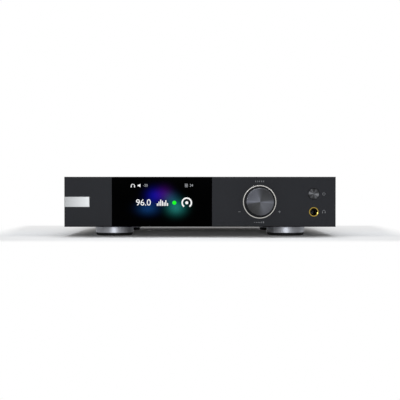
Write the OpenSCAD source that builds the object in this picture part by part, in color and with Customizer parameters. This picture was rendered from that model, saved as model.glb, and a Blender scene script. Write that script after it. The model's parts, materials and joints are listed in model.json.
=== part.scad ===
// Desktop audio converter: a milled front panel with a display window, a
// push-and-turn knob, a power button and a headphone socket, in a sheet-metal
// case on four turned feet, with its sockets on the rear panel.
// Millimetres, +Z up, front towards -Y. The origin is on the floor, under the
// middle of the whole outline.

/* [Case] */
// Width of the front panel
body_w = 271; // [260:1:320]
// Height of the front panel
body_h = 50; // [49:1:60]
// Depth from the front face to the rear face
body_d = 190; // [184:1:240]
// Thickness of the front panel, with its rear lip
panel_t = 10; // [9:0.5:12]
// Sheet thickness of the top cover
cover_t = 2; // [1.5:0.1:2.5]
// Sheet thickness of the base pan
base_t = 1.5; // [1:0.1:2]
// Sheet thickness of the rear panel
rear_t = 2; // [1.5:0.1:2.5]

/* [Display] */
// Width of the display window
window_w = 100; // [90:1:104]
// From the left edge of the panel to the window
window_side = 47.5; // [40:0.5:50]
// Thickness of the window glass
lens_t = 2; // [1.5:0.1:2.5]
// Thickness of the display module
module_t = 6; // [5:0.1:6.3]

/* [Controls] */
// Radius of the knob
knob_r = 13.7; // [12.5:0.1:15]
// Reach of the knob in front of the panel
knob_reach = 12; // [11:0.5:16]
// From the right edge of the panel to the knob's axis
knob_side = 76; // [68:1:80]
// Radius of the power button
button_r = 5.3; // [4.5:0.1:5.8]
// From the right edge of the panel to the button and the headphone socket
socket_side = 22; // [20:1:26]
// Bore of the headphone socket
jack_bore = 6.4; // [6.35:0.05:6.6]

/* [Feet] */
// Radius of a foot
foot_r = 19.5; // [16:0.5:24]
// Height of the case above the floor
foot_h = 9.5; // [8.5:0.5:14]
// From the side of the panel to a foot's axis
foot_side = 47.5; // [40:0.5:56]
// From the front or rear face to a foot's axis
foot_inset = 32; // [28:1:34]

/* [Boards] */
// Height of the hexagonal standoffs under the boards
standoff_h = 6; // [5:0.5:8]
// Thickness of a circuit board
board_t = 1.6; // [1:0.1:2]

/* [Hidden] */
$fn = 64;

// Colours
panel_colour = "#2d2e31";
sheet_colour = "#27282a";
glass_colour = "#060607";
silver_colour = "#c4c5c8";
steel_colour = "#8d9094";
gold_colour = "#c8a23c";
rubber_colour = "#161616";
plastic_colour = "#1c1c1e";
board_colour = "#1d4a33";
copper_colour = "#a8642e";

// Clearances
fit_gap = 0.2;      // beside a piece that drops into a pocket
thread_gap = 0.05;  // round a screw, bush or pin
run_gap = 0.3;      // round a piece that moves
past = 1;           // how far a cutter runs beyond the face it opens

// Places across the front
left = -body_w / 2;
right = body_w / 2;
mid = body_h / 2;
rca_reach = 10;
front_y = -(body_d + rca_reach - knob_reach) / 2;
window_x0 = left + window_side;
window_x1 = window_x0 + window_w;
window_x = window_x0 + window_w / 2;
knob_x = right - knob_side;
socket_x = right - socket_side;
button_rise = 8;
jack_drop = 10;
button_z = mid + button_rise;
jack_z = mid - jack_drop;

// Case
lip_t = 2;
shoulder_d = panel_t - lip_t;
panel_chamfer = 0.8;
edge_break = 0.5;
cover_inset = 0.5;
cover_bend = 3;
cover_x = body_w / 2 - cover_inset;
cover_z = body_h - cover_inset;
cover_in_x = cover_x - cover_t;
cover_in_z = cover_z - cover_t;
sheet_x = cover_in_x - fit_gap;
sheet_z = cover_in_z - fit_gap;
bend_in = cover_bend - cover_t;
rear_in = body_d - rear_t;
flange_side_h = 14;
flange_front_h = 8;
flange_rear_h = 7;
flange_room = 4;
rear_flange_l = 12;
rear_flange_z = 20;

// Screws
m3_r = 1.45;
m3_head_r = 2.75;
m3_head_h = 1.8;
m3_hole_r = m3_r + thread_gap;
m4_r = 1.95;
m4_head_r = 3.8;
m4_head_h = 2.5;
m4_hole_r = m4_r + thread_gap;
flat_head_r = 2.9;
panel_thread = 5;
side_screw_l = 6;
side_screw_inset = 40;
side_screw_z = 8;
rear_side_inset = 8;
rear_side_rise = 13;
rear_screw_l = 6;

// Display
lens_gap = 0.1;
land_t = panel_t - lens_t - module_t;
screen_edge = 8;
screen_w = window_w - 2 * screen_edge;
module_edge = 5;
module_w = window_w - 2 * module_edge;
module_wall = 4.5;
module_h = body_h - 2 * module_wall;
screen_land = 1.5;
screen_h = module_h - 2 * screen_land;
flange_clear = 1;
bracket_t = 1.2;
bracket_ear = 6;
bracket_w = window_w + 2 * bracket_ear;
bracket_h = 2 * (mid - flange_front_h - flange_clear);
bracket_corner = 3;
bracket_slot_w = 60;
bracket_slot_h = 14;
bracket_slot_r = 4;
bracket_screw_inset = 5;
bracket_screw_rise = 4;
bracket_screw_x = bracket_w / 2 - bracket_screw_inset;
bracket_screw_z = bracket_h / 2 - bracket_screw_rise;

// Badge that wraps the left edge of the panel
badge_w = 25;
badge_h = 10;
badge_t = 0.8;

// Knob and its encoder
recess_t = 1.5;
ring_gap = 1.7;
ring_w = 1.2;
ring_proud = 1;
ring_edge = 0.35;
ring_in = knob_r + ring_gap;
ring_out = ring_in + ring_w;
knob_rear = 0.5;
knob_wall = 2.5;
knob_crown = 5;
knob_edge = 0.6;
hub_r = 5.5;
push_travel = 0.5;
encoder_t = 6.5;
encoder_w = 13.4;
encoder_h = 12.4;
encoder_wall = 1.8;
web_t = panel_t - encoder_t;
shaft_r = 3;
shaft_flat = 1.5;
bush_r = 4.5;
bush_proud = 1;
washer_t = 0.5;
nut_t = 2;
nut_af = 12;
nut_washer_r = 7.5;
bush_end = recess_t - washer_t - nut_t - bush_proud;
hub_end = bush_end - 2 * push_travel;
knob_cap = 1.6;
shaft_front = -knob_reach + knob_cap;
encoder_floor = 1.4;
cavity_r = 5.3;
cavity_d0 = web_t + encoder_wall;
cavity_d1 = panel_t - encoder_floor;
rotor_r = 5;
rotor_t = 1.8;
plunger_gap = 0.1;
shaft_rear = cavity_d1 - push_travel - plunger_gap;
plunger_r = 1.5;
plunger_bore = 1.7;
plunger_l = 1.2;

// Power button and its switch
button_proud = 1.2;
button_dish = 0.3;
button_flange = 1;
button_flange_t = 0.8;
button_hole = button_r + run_gap;
flange_gap = 0.05;
switch_t = 3.5;
switch_w = 6;
stem_r = 1.75;
switch_bore = 1.85;
switch_bore_l = 1.7;
switch_plunger_r = 1.7;
switch_plunger_l = 1.65;
stem_end = panel_t - switch_t - push_travel - flange_gap;
button_pocket_r = button_hole + 2;

// Headphone socket
jack_w = 15;
jack_h = 13;
jack_l = 28.5;
jack_inner_l = 26.5;
ring_flange_r = 5;
sleeve_r = 4.4;
sleeve_l = 11.2;
jack_ring_proud = 0.8;

// Front board
board_knob_edge = 14;
board_socket_edge = 13;
board_head = 5;
front_board_x0 = knob_x - board_knob_edge;
front_board_x1 = socket_x + board_socket_edge;
front_board_z0 = flange_front_h + flange_clear;
front_board_z1 = body_h - board_head;
front_board_d1 = panel_t + board_t;
board_screw_rise = 3;
board_screw_drop = 7;
board_knob_screw = 10;
board_socket_screw = 16;
board_screws_x = [knob_x - board_knob_screw, socket_x - board_socket_screw];
board_screws_z = [front_board_z0 + board_screw_rise, front_board_z1 - board_screw_drop];
flange_screw_z = 4.8;
flange_left_screw = 25;
flange_socket_screw = 13;
flange_screws_x = [
    left + flange_left_screw, (window_x1 + knob_x) / 2, socket_x - flange_socket_screw
];

// Boards in the case
board_z = base_t + standoff_h;
deck_z = board_z + board_t;
hex_af = 5.5;
hole_inset = 4;

// Feet
pad_proud = 2.4;
pad_seat = 1;
pad_step = 0.9;
pad_r = foot_r - pad_step;
pad_hole = 5;
foot_floor = 3;
boss_r = 4;
boss_top = 5;
foot_x = body_w / 2 - foot_side;
foot_places = [
    [-foot_x, foot_inset], [foot_x, foot_inset],
    [-foot_x, body_d - foot_inset], [foot_x, body_d - foot_inset]
];

// Rear sockets
xlr_flange_w = 26;
xlr_flange_h = 31;
xlr_flange_t = 2.5;
xlr_flange_r = 3;
xlr_body_r = 11;
xlr_cavity_r = 8.2;
xlr_cavity_l = 11;
xlr_body_l = 18;
xlr_screw = [9.5, 12];
xlr_pin_r = 1.2;
xlr_pin_ring = 4.6;
xlr_pin_angles = [45, 135, 270];
xlr_pin_l = 11;
xlr_pin_root = 3;
xlr_leg_w = 16;
xlr_leg_l = 12;

rca_rise = 11;
rca_z = deck_z + rca_rise;
rca_r = 4.15;
rca_bore = 3.3;
rca_core_r = rca_bore - thread_gap;
rca_pin_bore = 1.65;
rca_hex_af = 12;
rca_hex_t = 1.5;
rca_block_w = 12;
rca_block_l = 14;
rca_core_short = 1.5;
rca_hole = rca_r + run_gap;

optical_w = 10;
optical_h = 11;
optical_l = 14;
optical_proud = 0.4;
optical_mouth_w = 8.2;
optical_floor = 1.2;
optical_mouth_h = 8.4;
optical_mouth_l = 9.5;
shutter_w = 7.6;
shutter_t = 0.9;
shutter_sink = 0.7;
shutter_z = deck_z + optical_floor + optical_mouth_h - shutter_sink;
shutter_d = body_d - shutter_sink;
shutter_l = 7.3;
shutter_pin_r = 0.45;
shutter_pin_x = 4.6;

usb_w = 12;
usb_h = 11;
usb_bevel = 2;
usb_wall = 0.6;
usb_l = 16;
usb_proud = 0.5;
usb_mouth_l = 9;
usb_tongue_w = 5.6;
usb_tongue_h = 3.2;
usb_tongue_short = 1.5;

inlet_flange_w = 49;
inlet_flange_h = 23;
inlet_flange_t = 3;
inlet_flange_r = 4;
inlet_body_w = 27;
inlet_body_h = 20;
inlet_body_l = 24;
inlet_mouth_w = 24;
inlet_mouth_h = 16.6;
inlet_mouth_l = 17;
inlet_bevel = 3.4;
inlet_screw_x = 20;
blade_w = 2;
blade_h = 4;
blade_tail = 5;
blade_l = 13;
blade_places = [[-7, -2], [7, -2], [0, 2.5]];

rocker_bezel_w = 15.4;
rocker_bezel_h = 22;
rocker_bezel_t = 2;
rocker_bezel_r = 1;
rocker_body_w = 13;
rocker_body_h = 19.6;
rocker_body_l = 18;
rocker_r = 8.6;
rocker_half_w = 5.1;
rocker_mouth_r = 8.8;
rocker_side_gap = 0.2;
rocker_tilt = 9;
rocker_pin_r = 1;
rocker_pin_x = 6.1;
rocker_sink = 1.5;
rocker_d = body_d - rocker_sink;
rocker_deep = 5.2;
rocker_inner = 3.5;
rocker_face_mid = 2.2;
rocker_face_end = 4;
rocker_tail_w = 1;
rocker_tail_h = 5;
rocker_tail_l = 7;
rocker_tail_z = 5;

// The rear sockets stand in one row, with even gaps from side to side
row_side = 11.8;
row_widths = [
    xlr_flange_w, xlr_flange_w, rca_block_w, rca_block_w, rca_block_w,
    optical_w, usb_w, rocker_bezel_w, inlet_flange_w
];
function sum_to(v, n) = n == 0 ? 0 : v[n - 1] + sum_to(v, n - 1);
row_sockets = len(row_widths);
row_gap = (body_w - 2 * row_side - sum_to(row_widths, row_sockets)) / (row_sockets - 1);
row_x = [
    for (i = [0 : row_sockets - 1])
        right - row_side - sum_to(row_widths, i) - i * row_gap - row_widths[i] / 2
];
xlr_places = [row_x[0], row_x[1]];
rca_places = [row_x[2], row_x[3], row_x[4]];
optical_x = row_x[5];
usb_x = row_x[6];
rocker_x = row_x[7];
inlet_x = row_x[8];

// Rear panel screws, one beside each end and one in each of three gaps
rear_screw_z = 4;
rear_screw_side = 13;
rear_screws_x = [
    left + rear_screw_side, (inlet_x + rocker_x) / 2, (rca_places[0] + xlr_places[1]) / 2,
    (xlr_places[0] + xlr_places[1]) / 2, right - rear_screw_side
];

// Main board, from beside the data socket to the right side
main_side = 8;
main_edge = 3;
main_x0 = usb_x - usb_w / 2 - main_edge;
main_x1 = right - main_side;
main_d0 = 60;
main_d1 = rear_in - run_gap;
main_rear_row = 32;
main_holes = [
    for (x = [main_x0 + hole_inset, main_x1 - hole_inset],
         d = [main_d0 + hole_inset, body_d - main_rear_row]) [x, d]
];
shield_w = 44;
shield_l = 34;
shield_h = 7;
shield_t = 0.5;
shield_side = 120;
shield_inset = 30;
audio_cap_r = 4;
audio_cap_h = 12;
audio_cap_step = 11;
audio_cap_columns = 4;
audio_cap_rows = 2;
audio_cap_side = 60;
audio_cap_inset = 36;
relay_w = 15;
relay_l = 8;
relay_h = 10;
relay_gap = 16;
vent_w = 3;
vent_l = 22;
vent_step = 8;
vent_row_step = 34;
vent_side = 100;
vent_inset = 34;

// Transformer, behind the left front foot and beside the main board
toroid_r = 33;
toroid_hole = 12;
toroid_round = 7;
toroid_room = 1;
toroid_beside = 5;
toroid_x = main_x0 - toroid_beside - toroid_r;
toroid_d = foot_inset + boss_r + toroid_r + toroid_room;
toroid_pad_t = 1.5;
toroid_pad_edge = 4;
toroid_washer_r = 20;
toroid_washer_t = 2;
bolt_r = 3;
bolt_room = 1;
bolt_head_t = 3;
bolt_nut_t = 5;
bolt_nut_af = 10;
toroid_head = 4;
toroid_z = base_t + toroid_pad_t;
toroid_top = cover_in_z - toroid_head - bolt_nut_t - toroid_washer_t;
toroid_h = toroid_top - toroid_pad_t - toroid_z;

// Power board, behind the transformer
power_beside = 5;
power_behind = 9;
power_rear = 30;
power_w = 71;
power_x1 = main_x0 - power_beside;
power_x0 = power_x1 - power_w;
power_d0 = toroid_d + toroid_r + power_behind;
power_d1 = body_d - power_rear;
power_l = power_d1 - power_d0;
power_holes = [
    for (x = [power_x0 + hole_inset, power_x1 - hole_inset],
         d = [power_d0 + hole_inset, power_d1 - hole_inset]) [x, d]
];
power_cap_r = 9;
power_cap_h = 30;
power_cap_step = 19;
power_cap_x = 12;
power_cap_d = 13;
fin_t = 1.6;
fin_step = 4.4;
fins = 6;
fin_h = 26;
fin_root = 4;
sink_w = (fins - 1) * fin_step + fin_t;
sink_x = 42;
sink_front = 8;
sink_rear = 10;
board_holes = concat(main_holes, power_holes);

// Shared shapes: x across, d behind the front face, z above the base

module box(x0, x1, d0, d1, z0, z1) {
    translate([x0, front_y + d0, foot_h + z0]) cube([x1 - x0, d1 - d0, z1 - z0]);
}

// A drawing in x and z, standing between two depths
module plate_xz(d0, d1) {
    translate([0, front_y + d1, foot_h]) rotate([90, 0, 0])
        linear_extrude(d1 - d0) children();
}

// A drawing in d and z, standing between two places across
module plate_yz(x0, x1) {
    translate([x0, front_y, foot_h]) rotate([90, 0, 90])
        linear_extrude(x1 - x0) children();
}

// A drawing in x and d, lying between two heights
module plate_xy(z0, z1) {
    translate([0, front_y, foot_h + z0]) linear_extrude(z1 - z0) children();
}

module rod_y(x, z, r, d0, d1) {
    translate([x, front_y + d0, foot_h + z]) rotate([-90, 0, 0])
        cylinder(r = r, h = d1 - d0);
}

module rod_z(x, d, r, z0, z1) {
    translate([x, front_y + d, foot_h + z0]) cylinder(r = r, h = z1 - z0);
}

// A profile in r and d, turned about an axis that runs front to rear
module turned_y(x, z) {
    translate([x, front_y, foot_h + z]) rotate([-90, 0, 0]) rotate_extrude() children();
}

// A profile in r and z, turned about an upright axis
module turned_z(x, d) {
    translate([x, front_y + d, foot_h]) rotate_extrude() children();
}

module hex_y(x, z, across, d0, d1) {
    translate([x, front_y + d0, foot_h + z]) rotate([-90, 30, 0])
        cylinder(r = across / 2 / cos(30), h = d1 - d0, $fn = 6);
}

module hex_z(x, d, across, z0, z1) {
    translate([x, front_y + d, foot_h + z0])
        cylinder(r = across / 2 / cos(30), h = z1 - z0, $fn = 6);
}

module centred_rect(x, z, w, h) {
    translate([x - w / 2, z - h / 2]) square([w, h]);
}

// A rectangle with four rounded corners
module round_rect(x, z, w, h, r) {
    centred_rect(x, z, w - 2 * r, h);
    centred_rect(x, z, w, h - 2 * r);
    for (i = [-1, 1], j = [-1, 1])
        translate([x + i * (w / 2 - r), z + j * (h / 2 - r)]) circle(r);
}

// A sheet outline with a flat foot and two rounded upper corners
module arch(half_w, z0, z1, r) {
    translate([-half_w, z0]) square([2 * half_w, z1 - z0 - r]);
    translate([-half_w + r, z0]) square([2 * (half_w - r), z1 - z0]);
    for (i = [-1, 1]) translate([i * (half_w - r), z1 - r]) circle(r);
}

// A round bar with a flat along one side
module d_profile(r, flat) {
    intersection() {
        circle(r);
        translate([-2 * r, -2 * r]) square([4 * r, 2 * r + flat]);
    }
}

module d_rod_y(x, z, r, flat, d0, d1) {
    translate([x, front_y + d0, foot_h + z]) rotate([-90, 0, 0])
        linear_extrude(d1 - d0) d_profile(r, flat);
}

// A screw with its seat at 0 and its shank towards +Z
module pan_screw(r, l, head_r, head_h) {
    difference() {
        union() {
            cylinder(r = r, h = l);
            translate([0, 0, -head_h]) cylinder(r = head_r, h = head_h);
        }
        translate([0, 0, -head_h - past])
            cylinder(r = head_r / 2, h = past + head_h / 2, $fn = 6);
    }
}

// A countersunk screw with its face at 0 and its shank towards +Z
module flat_screw(r, l, head_r) {
    rotate_extrude()
        polygon([[0, 0], [head_r, 0], [r, head_r - r], [r, l], [0, l]]);
}

// The hole for it, open beyond the face
module flat_screw_hole(r, l, head_r) {
    rotate_extrude() polygon([
        [0, -past], [head_r, -past], [head_r, 0], [r, head_r - r], [r, l], [0, l]
    ]);
}

module screw_forward(x, z, d, l) {
    translate([x, front_y + d, foot_h + z]) rotate([90, 0, 0])
        pan_screw(m3_r, l, m3_head_r, m3_head_h);
}

module screw_down(x, d, z, l) {
    translate([x, front_y + d, foot_h + z]) rotate([180, 0, 0])
        pan_screw(m3_r, l, m3_head_r, m3_head_h);
}

// Wires: smooth tubes along points

wire_sides = 8;
wire_steps = 3;

function curve_at(a, b, c, e, t) =
    0.5 * (2 * b + (c - a) * t + (2 * a - 5 * b + 4 * c - e) * t * t
        + (3 * b - a - 3 * c + e) * t * t * t);

function with_ends(p) =
    concat([2 * p[0] - p[1]], p, [2 * p[len(p) - 1] - p[len(p) - 2]]);

function curve(p) =
    let (q = with_ends(p))
    concat(
        [for (i = [0 : len(p) - 2], s = [0 : wire_steps - 1])
            curve_at(q[i], q[i + 1], q[i + 2], q[i + 3], s / wire_steps)],
        [p[len(p) - 1]]
    );

function unit(v) = v / norm(v);

// Direction of a curve at its point i, square to the ends of the line p
function heading(p, c, i) =
    i == 0 ? unit(p[1] - p[0]) :
    i == len(c) - 1 ? unit(p[len(p) - 1] - p[len(p) - 2]) :
    unit(c[i + 1] - c[i - 1]);

// Points in x, d and z; aside is a direction that the wire never runs along
module wire(points, r, aside) {
    c = curve(points);
    n = len(c);
    rings = [
        for (i = [0 : n - 1])
            let (t = heading(points, c, i), u = unit(cross(aside, t)), v = cross(t, u))
            for (k = [0 : wire_sides - 1])
                let (a = 360 * k / wire_sides)
                c[i] + r * (cos(a) * u + sin(a) * v)
    ];
    last = (n - 1) * wire_sides;
    skin = [
        for (i = [0 : n - 2], k = [0 : wire_sides - 1])
            let (a = i * wire_sides + k, b = i * wire_sides + (k + 1) % wire_sides)
            each [[a, a + wire_sides, b], [b, a + wire_sides, b + wire_sides]]
    ];
    caps = [
        for (k = [1 : wire_sides - 2])
            each [[0, k, k + 1], [last, last + k + 1, last + k]]
    ];
    translate([0, front_y, foot_h]) polyhedron(rings, concat(skin, caps));
}

// Front panel

// The slab with its four front edges broken
module panel_slab() {
    c = panel_chamfer;
    intersection() {
        plate_xy(0, body_h) polygon([
            [left, shoulder_d], [left, c], [left + c, 0],
            [right - c, 0], [right, c], [right, shoulder_d]
        ]);
        plate_yz(left, right) polygon([
            [0, c], [c, 0], [shoulder_d, 0],
            [shoulder_d, body_h], [c, body_h], [0, body_h - c]
        ]);
    }
}

// The badge's leaf on the front and its leaf round the left side
module badge_room(gap) {
    z0 = mid - badge_h / 2 - gap;
    z1 = mid + badge_h / 2 + gap;
    box(left - past, left + badge_w + gap, -past, badge_t, z0, z1);
    box(left - past, left + badge_t, -past, shoulder_d + past, z0, z1);
}

module front_panel() {
    color(panel_colour) difference() {
        union() {
            panel_slab();
            plate_xz(shoulder_d - past, panel_t)
                arch(sheet_x, base_t + fit_gap, sheet_z, bend_in);
        }
        box(window_x0 - lens_gap, window_x1 + lens_gap, -past, lens_t, -past, body_h + past);
        plate_xz(lens_t - past, panel_t) centred_rect(window_x, mid, screen_w, screen_h);
        plate_xz(lens_t + land_t, panel_t + past)
            centred_rect(window_x, mid, module_w + 2 * fit_gap, module_h + 2 * fit_gap);
        intersection() {
            badge_room(lens_gap);
            box(left - past, right, -past, shoulder_d, 0, body_h);
        }
        rod_y(knob_x, mid, ring_out + thread_gap, -past, recess_t);
        rod_y(knob_x, mid, bush_r + thread_gap, -past, panel_t);
        plate_xz(web_t, panel_t + past)
            centred_rect(knob_x, mid, encoder_w + 2 * fit_gap, encoder_h + 2 * fit_gap);
        rod_y(socket_x, button_z, button_hole, -past, panel_t);
        rod_y(socket_x, button_z, button_pocket_r, web_t, panel_t + past);
        rod_y(socket_x, jack_z, sleeve_r + thread_gap, -past, panel_t);
        plate_xz(web_t, panel_t + past)
            centred_rect(socket_x, jack_z, jack_w + 2 * fit_gap, jack_h + 2 * fit_gap);
        for (p = panel_screw_places())
            rod_y(p[0], p[1], m3_hole_r, panel_t - panel_thread, panel_t + past);
    }
}

function bracket_screw_places() = [
    for (i = [-1, 1], j = [-1, 1])
        [window_x + i * bracket_screw_x, mid + j * bracket_screw_z]
];
function board_screw_places() = [
    for (x = board_screws_x, z = board_screws_z) [x, z]
];
function flange_screw_places() = [for (x = flange_screws_x) [x, flange_screw_z]];
function panel_screw_places() =
    concat(bracket_screw_places(), board_screw_places(), flange_screw_places());

module display_window() {
    color(glass_colour) intersection() {
        panel_slab();
        box(window_x0, window_x1, -past, lens_t, -past, body_h + past);
    }
}

// The module's frame sits in the rear pocket, its screen in the opening
module display_module() {
    color("#101418") union() {
        plate_xz(lens_t + land_t, panel_t) centred_rect(window_x, mid, module_w, module_h);
        plate_xz(lens_t + fit_gap, panel_t - past)
            centred_rect(window_x, mid, screen_w - 2 * fit_gap, screen_h - 2 * fit_gap);
    }
}

module display_bracket() {
    color(steel_colour) plate_xz(panel_t, panel_t + bracket_t) difference() {
        round_rect(window_x, mid, bracket_w, bracket_h, bracket_corner);
        round_rect(window_x, mid, bracket_slot_w, bracket_slot_h, bracket_slot_r);
        for (p = bracket_screw_places()) translate(p) circle(m3_hole_r);
    }
}

module badge_plate() {
    color(silver_colour) intersection() {
        panel_slab();
        badge_room(0);
    }
}

module front_board() {
    color(board_colour) plate_xz(panel_t, front_board_d1) difference() {
        translate([front_board_x0, front_board_z0])
            square([front_board_x1 - front_board_x0, front_board_z1 - front_board_z0]);
        translate([socket_x - jack_w / 2 - fit_gap, front_board_z0 - past])
            square([jack_w + 2 * fit_gap, jack_z + jack_h / 2 + fit_gap - front_board_z0 + past]);
        for (p = board_screw_places()) translate(p) circle(m3_hole_r);
    }
}

// Screws through the bracket, the front board and the base pan into the panel
module front_screws() {
    grip = panel_thread - past;
    color(steel_colour) {
        for (p = bracket_screw_places())
            screw_forward(p[0], p[1], panel_t + bracket_t, bracket_t + grip);
        for (p = board_screw_places())
            screw_forward(p[0], p[1], front_board_d1, board_t + grip);
        for (p = flange_screw_places())
            screw_forward(p[0], p[1], panel_t + base_t, base_t + grip);
    }
}

// Knob and encoder

// A bright trim ring in the panel's recess, round the knob
module knob_ring() {
    color(silver_colour) turned_y(knob_x, mid) polygon([
        [ring_in, recess_t], [ring_in, -ring_proud + ring_edge],
        [ring_in + ring_edge, -ring_proud], [ring_out - ring_edge, -ring_proud],
        [ring_out, -ring_proud + ring_edge], [ring_out, recess_t]
    ]);
}

// Solid crown, thin skirt and a central hub with a flatted bore
module knob_body() {
    color("#55575c") difference() {
        turned_y(knob_x, mid) polygon([
            [0, -knob_reach], [knob_r - knob_edge, -knob_reach],
            [knob_r, -knob_reach + knob_edge], [knob_r, knob_rear],
            [knob_r - knob_wall, knob_rear], [knob_r - knob_wall, -knob_reach + knob_crown],
            [hub_r, -knob_reach + knob_crown], [hub_r, hub_end], [0, hub_end]
        ]);
        d_rod_y(knob_x, mid, shaft_r + thread_gap, shaft_flat + thread_gap,
            shaft_front - thread_gap, hub_end + past);
    }
}

module encoder_body() {
    color(steel_colour) difference() {
        plate_xz(web_t, panel_t) centred_rect(knob_x, mid, encoder_w, encoder_h);
        rod_y(knob_x, mid, bush_r + thread_gap, web_t - past, cavity_d0);
        rod_y(knob_x, mid, cavity_r, cavity_d0, cavity_d1);
        rod_y(knob_x, mid, plunger_bore, cavity_d1 - past, panel_t + past);
    }
}

module encoder_bush() {
    color(steel_colour) difference() {
        rod_y(knob_x, mid, bush_r, bush_end, cavity_d0);
        rod_y(knob_x, mid, shaft_r + thread_gap, bush_end - past, cavity_d0 + past);
    }
}

module encoder_nut() {
    nut_d1 = recess_t - washer_t;
    color(steel_colour) difference() {
        union() {
            rod_y(knob_x, mid, nut_washer_r, nut_d1, recess_t);
            hex_y(knob_x, mid, nut_af, nut_d1 - nut_t, nut_d1);
        }
        rod_y(knob_x, mid, bush_r + thread_gap, nut_d1 - nut_t - past, recess_t + past);
    }
}

module encoder_rotor() {
    rotor_d0 = cavity_d0 + run_gap;
    color("#c9b48a") difference() {
        rod_y(knob_x, mid, rotor_r, rotor_d0, rotor_d0 + rotor_t);
        d_rod_y(knob_x, mid, shaft_r + thread_gap, shaft_flat + thread_gap,
            rotor_d0 - past, rotor_d0 + rotor_t + past);
    }
}

// A shaft with a flat at the knob and another at the rotor
module encoder_shaft() {
    rear_flat_d0 = cavity_d0 - push_travel;
    color(silver_colour) union() {
        d_rod_y(knob_x, mid, shaft_r, shaft_flat, shaft_front, hub_end + push_travel);
        rod_y(knob_x, mid, shaft_r, hub_end + push_travel, rear_flat_d0);
        d_rod_y(knob_x, mid, shaft_r, shaft_flat, rear_flat_d0, shaft_rear);
    }
}

module encoder_plunger() {
    plunger_d0 = shaft_rear + plunger_gap;
    color("#d8d2c0") rod_y(knob_x, mid, plunger_r, plunger_d0, plunger_d0 + plunger_l);
}

// Power button

module power_button() {
    flange_d0 = web_t + flange_gap;
    flange_d1 = flange_d0 + button_flange_t;
    flange_r = button_hole + button_flange;
    color("#3a3b3f") turned_y(socket_x, button_z) polygon([
        [0, -button_proud + button_dish], [button_r - edge_break, -button_proud],
        [button_r, -button_proud + edge_break], [button_r, flange_d0],
        [flange_r, flange_d0], [flange_r, flange_d1],
        [stem_r, flange_d1], [stem_r, stem_end], [0, stem_end]
    ]);
}

module power_switch() {
    switch_d0 = panel_t - switch_t;
    color(plastic_colour) difference() {
        plate_xz(switch_d0, panel_t) centred_rect(socket_x, button_z, switch_w, switch_w);
        rod_y(socket_x, button_z, switch_bore, switch_d0 - past, switch_d0 + switch_bore_l);
    }
}

module power_switch_plunger() {
    color("#d8d2c0")
        rod_y(socket_x, button_z, switch_plunger_r, stem_end, stem_end + switch_plunger_l);
}

// Headphone socket

module headphone_ring() {
    bore_r = jack_bore / 2;
    color(gold_colour) turned_y(socket_x, jack_z) polygon([
        [bore_r, -jack_ring_proud + edge_break], [bore_r + edge_break, -jack_ring_proud],
        [ring_flange_r - edge_break, -jack_ring_proud],
        [ring_flange_r, -jack_ring_proud + edge_break], [ring_flange_r, 0],
        [sleeve_r, 0], [sleeve_r, sleeve_l], [bore_r, sleeve_l]
    ]);
}

module headphone_jack() {
    inner_gap = 0.2;
    color(plastic_colour) difference() {
        plate_xz(web_t, web_t + jack_l) centred_rect(socket_x, jack_z, jack_w, jack_h);
        rod_y(socket_x, jack_z, sleeve_r + thread_gap, web_t - past, sleeve_l);
        rod_y(socket_x, jack_z, jack_bore / 2 + inner_gap, sleeve_l - past, web_t + jack_inner_l);
    }
}

// Case sheets

// Slots under the main board, in rows
module vent_slots() {
    slots = 7;
    rows = 2;
    for (i = [0 : slots - 1], j = [0 : rows - 1])
        round_rect(right - vent_side + i * vent_step, main_d0 + vent_inset + j * vent_row_step,
            vent_w, vent_l, vent_w / 2 - thread_gap);
}

module base_pan() {
    color(sheet_colour) difference() {
        union() {
            plate_xy(0, base_t)
                translate([-sheet_x, shoulder_d]) square([2 * sheet_x, body_d - shoulder_d]);
            for (i = [-1, 1])
                box(i > 0 ? sheet_x - base_t : -sheet_x, i > 0 ? sheet_x : base_t - sheet_x,
                    panel_t + flange_room, rear_in - rear_flange_l - flange_room,
                    0, flange_side_h);
            box(-sheet_x + flange_room, sheet_x - flange_room,
                panel_t, panel_t + base_t, 0, flange_front_h);
            box(-sheet_x + flange_room, sheet_x - flange_room,
                rear_in - base_t, rear_in, 0, flange_rear_h);
            for (p = foot_places) rod_z(p[0], p[1], boss_r, 0, boss_top);
        }
        for (p = foot_places) rod_z(p[0], p[1], m4_hole_r, -past, boss_top + past);
        box(socket_x - jack_w / 2 - run_gap, socket_x + jack_w / 2 + run_gap,
            panel_t - past, panel_t + base_t + past,
            jack_z - jack_h / 2 - run_gap, body_h);
        for (x = flange_screws_x)
            rod_y(x, flange_screw_z, m3_hole_r, panel_t - past, panel_t + base_t + past);
        for (x = rear_screws_x)
            rod_y(x, rear_screw_z, m3_hole_r, rear_in - base_t - past, rear_in + past);
        for (p = side_screw_places(), i = [-1, 1])
            side_hole(i, p[0], p[1], sheet_x - base_t - past, sheet_x + past);
        rod_z(toroid_x, toroid_d, bolt_r + thread_gap, -past, base_t + past);
        for (p = board_holes) rod_z(p[0], p[1], m3_hole_r, -past, base_t + past);
        plate_xy(-past, base_t + past) vent_slots();
    }
}

// Side screws: depth and height of each, alike on both sides
function side_screw_places() =
    [for (d = [side_screw_inset, body_d - side_screw_inset]) [d, side_screw_z]];
function rear_side_screw_place() = [body_d - rear_side_inset, mid + rear_side_rise];

module side_hole(side, d, z, x0, x1) {
    translate([side * x0, front_y + d, foot_h + z]) rotate([0, side * 90, 0])
        cylinder(r = m3_hole_r, h = x1 - x0);
}

// On the cover's sides, pointing inwards
module at_side_screws() {
    for (side = [-1, 1], p = concat(side_screw_places(), [rear_side_screw_place()]))
        translate([side * cover_x, front_y + p[0], foot_h + p[1]])
            rotate([0, -side * 90, 0]) children();
}

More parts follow.
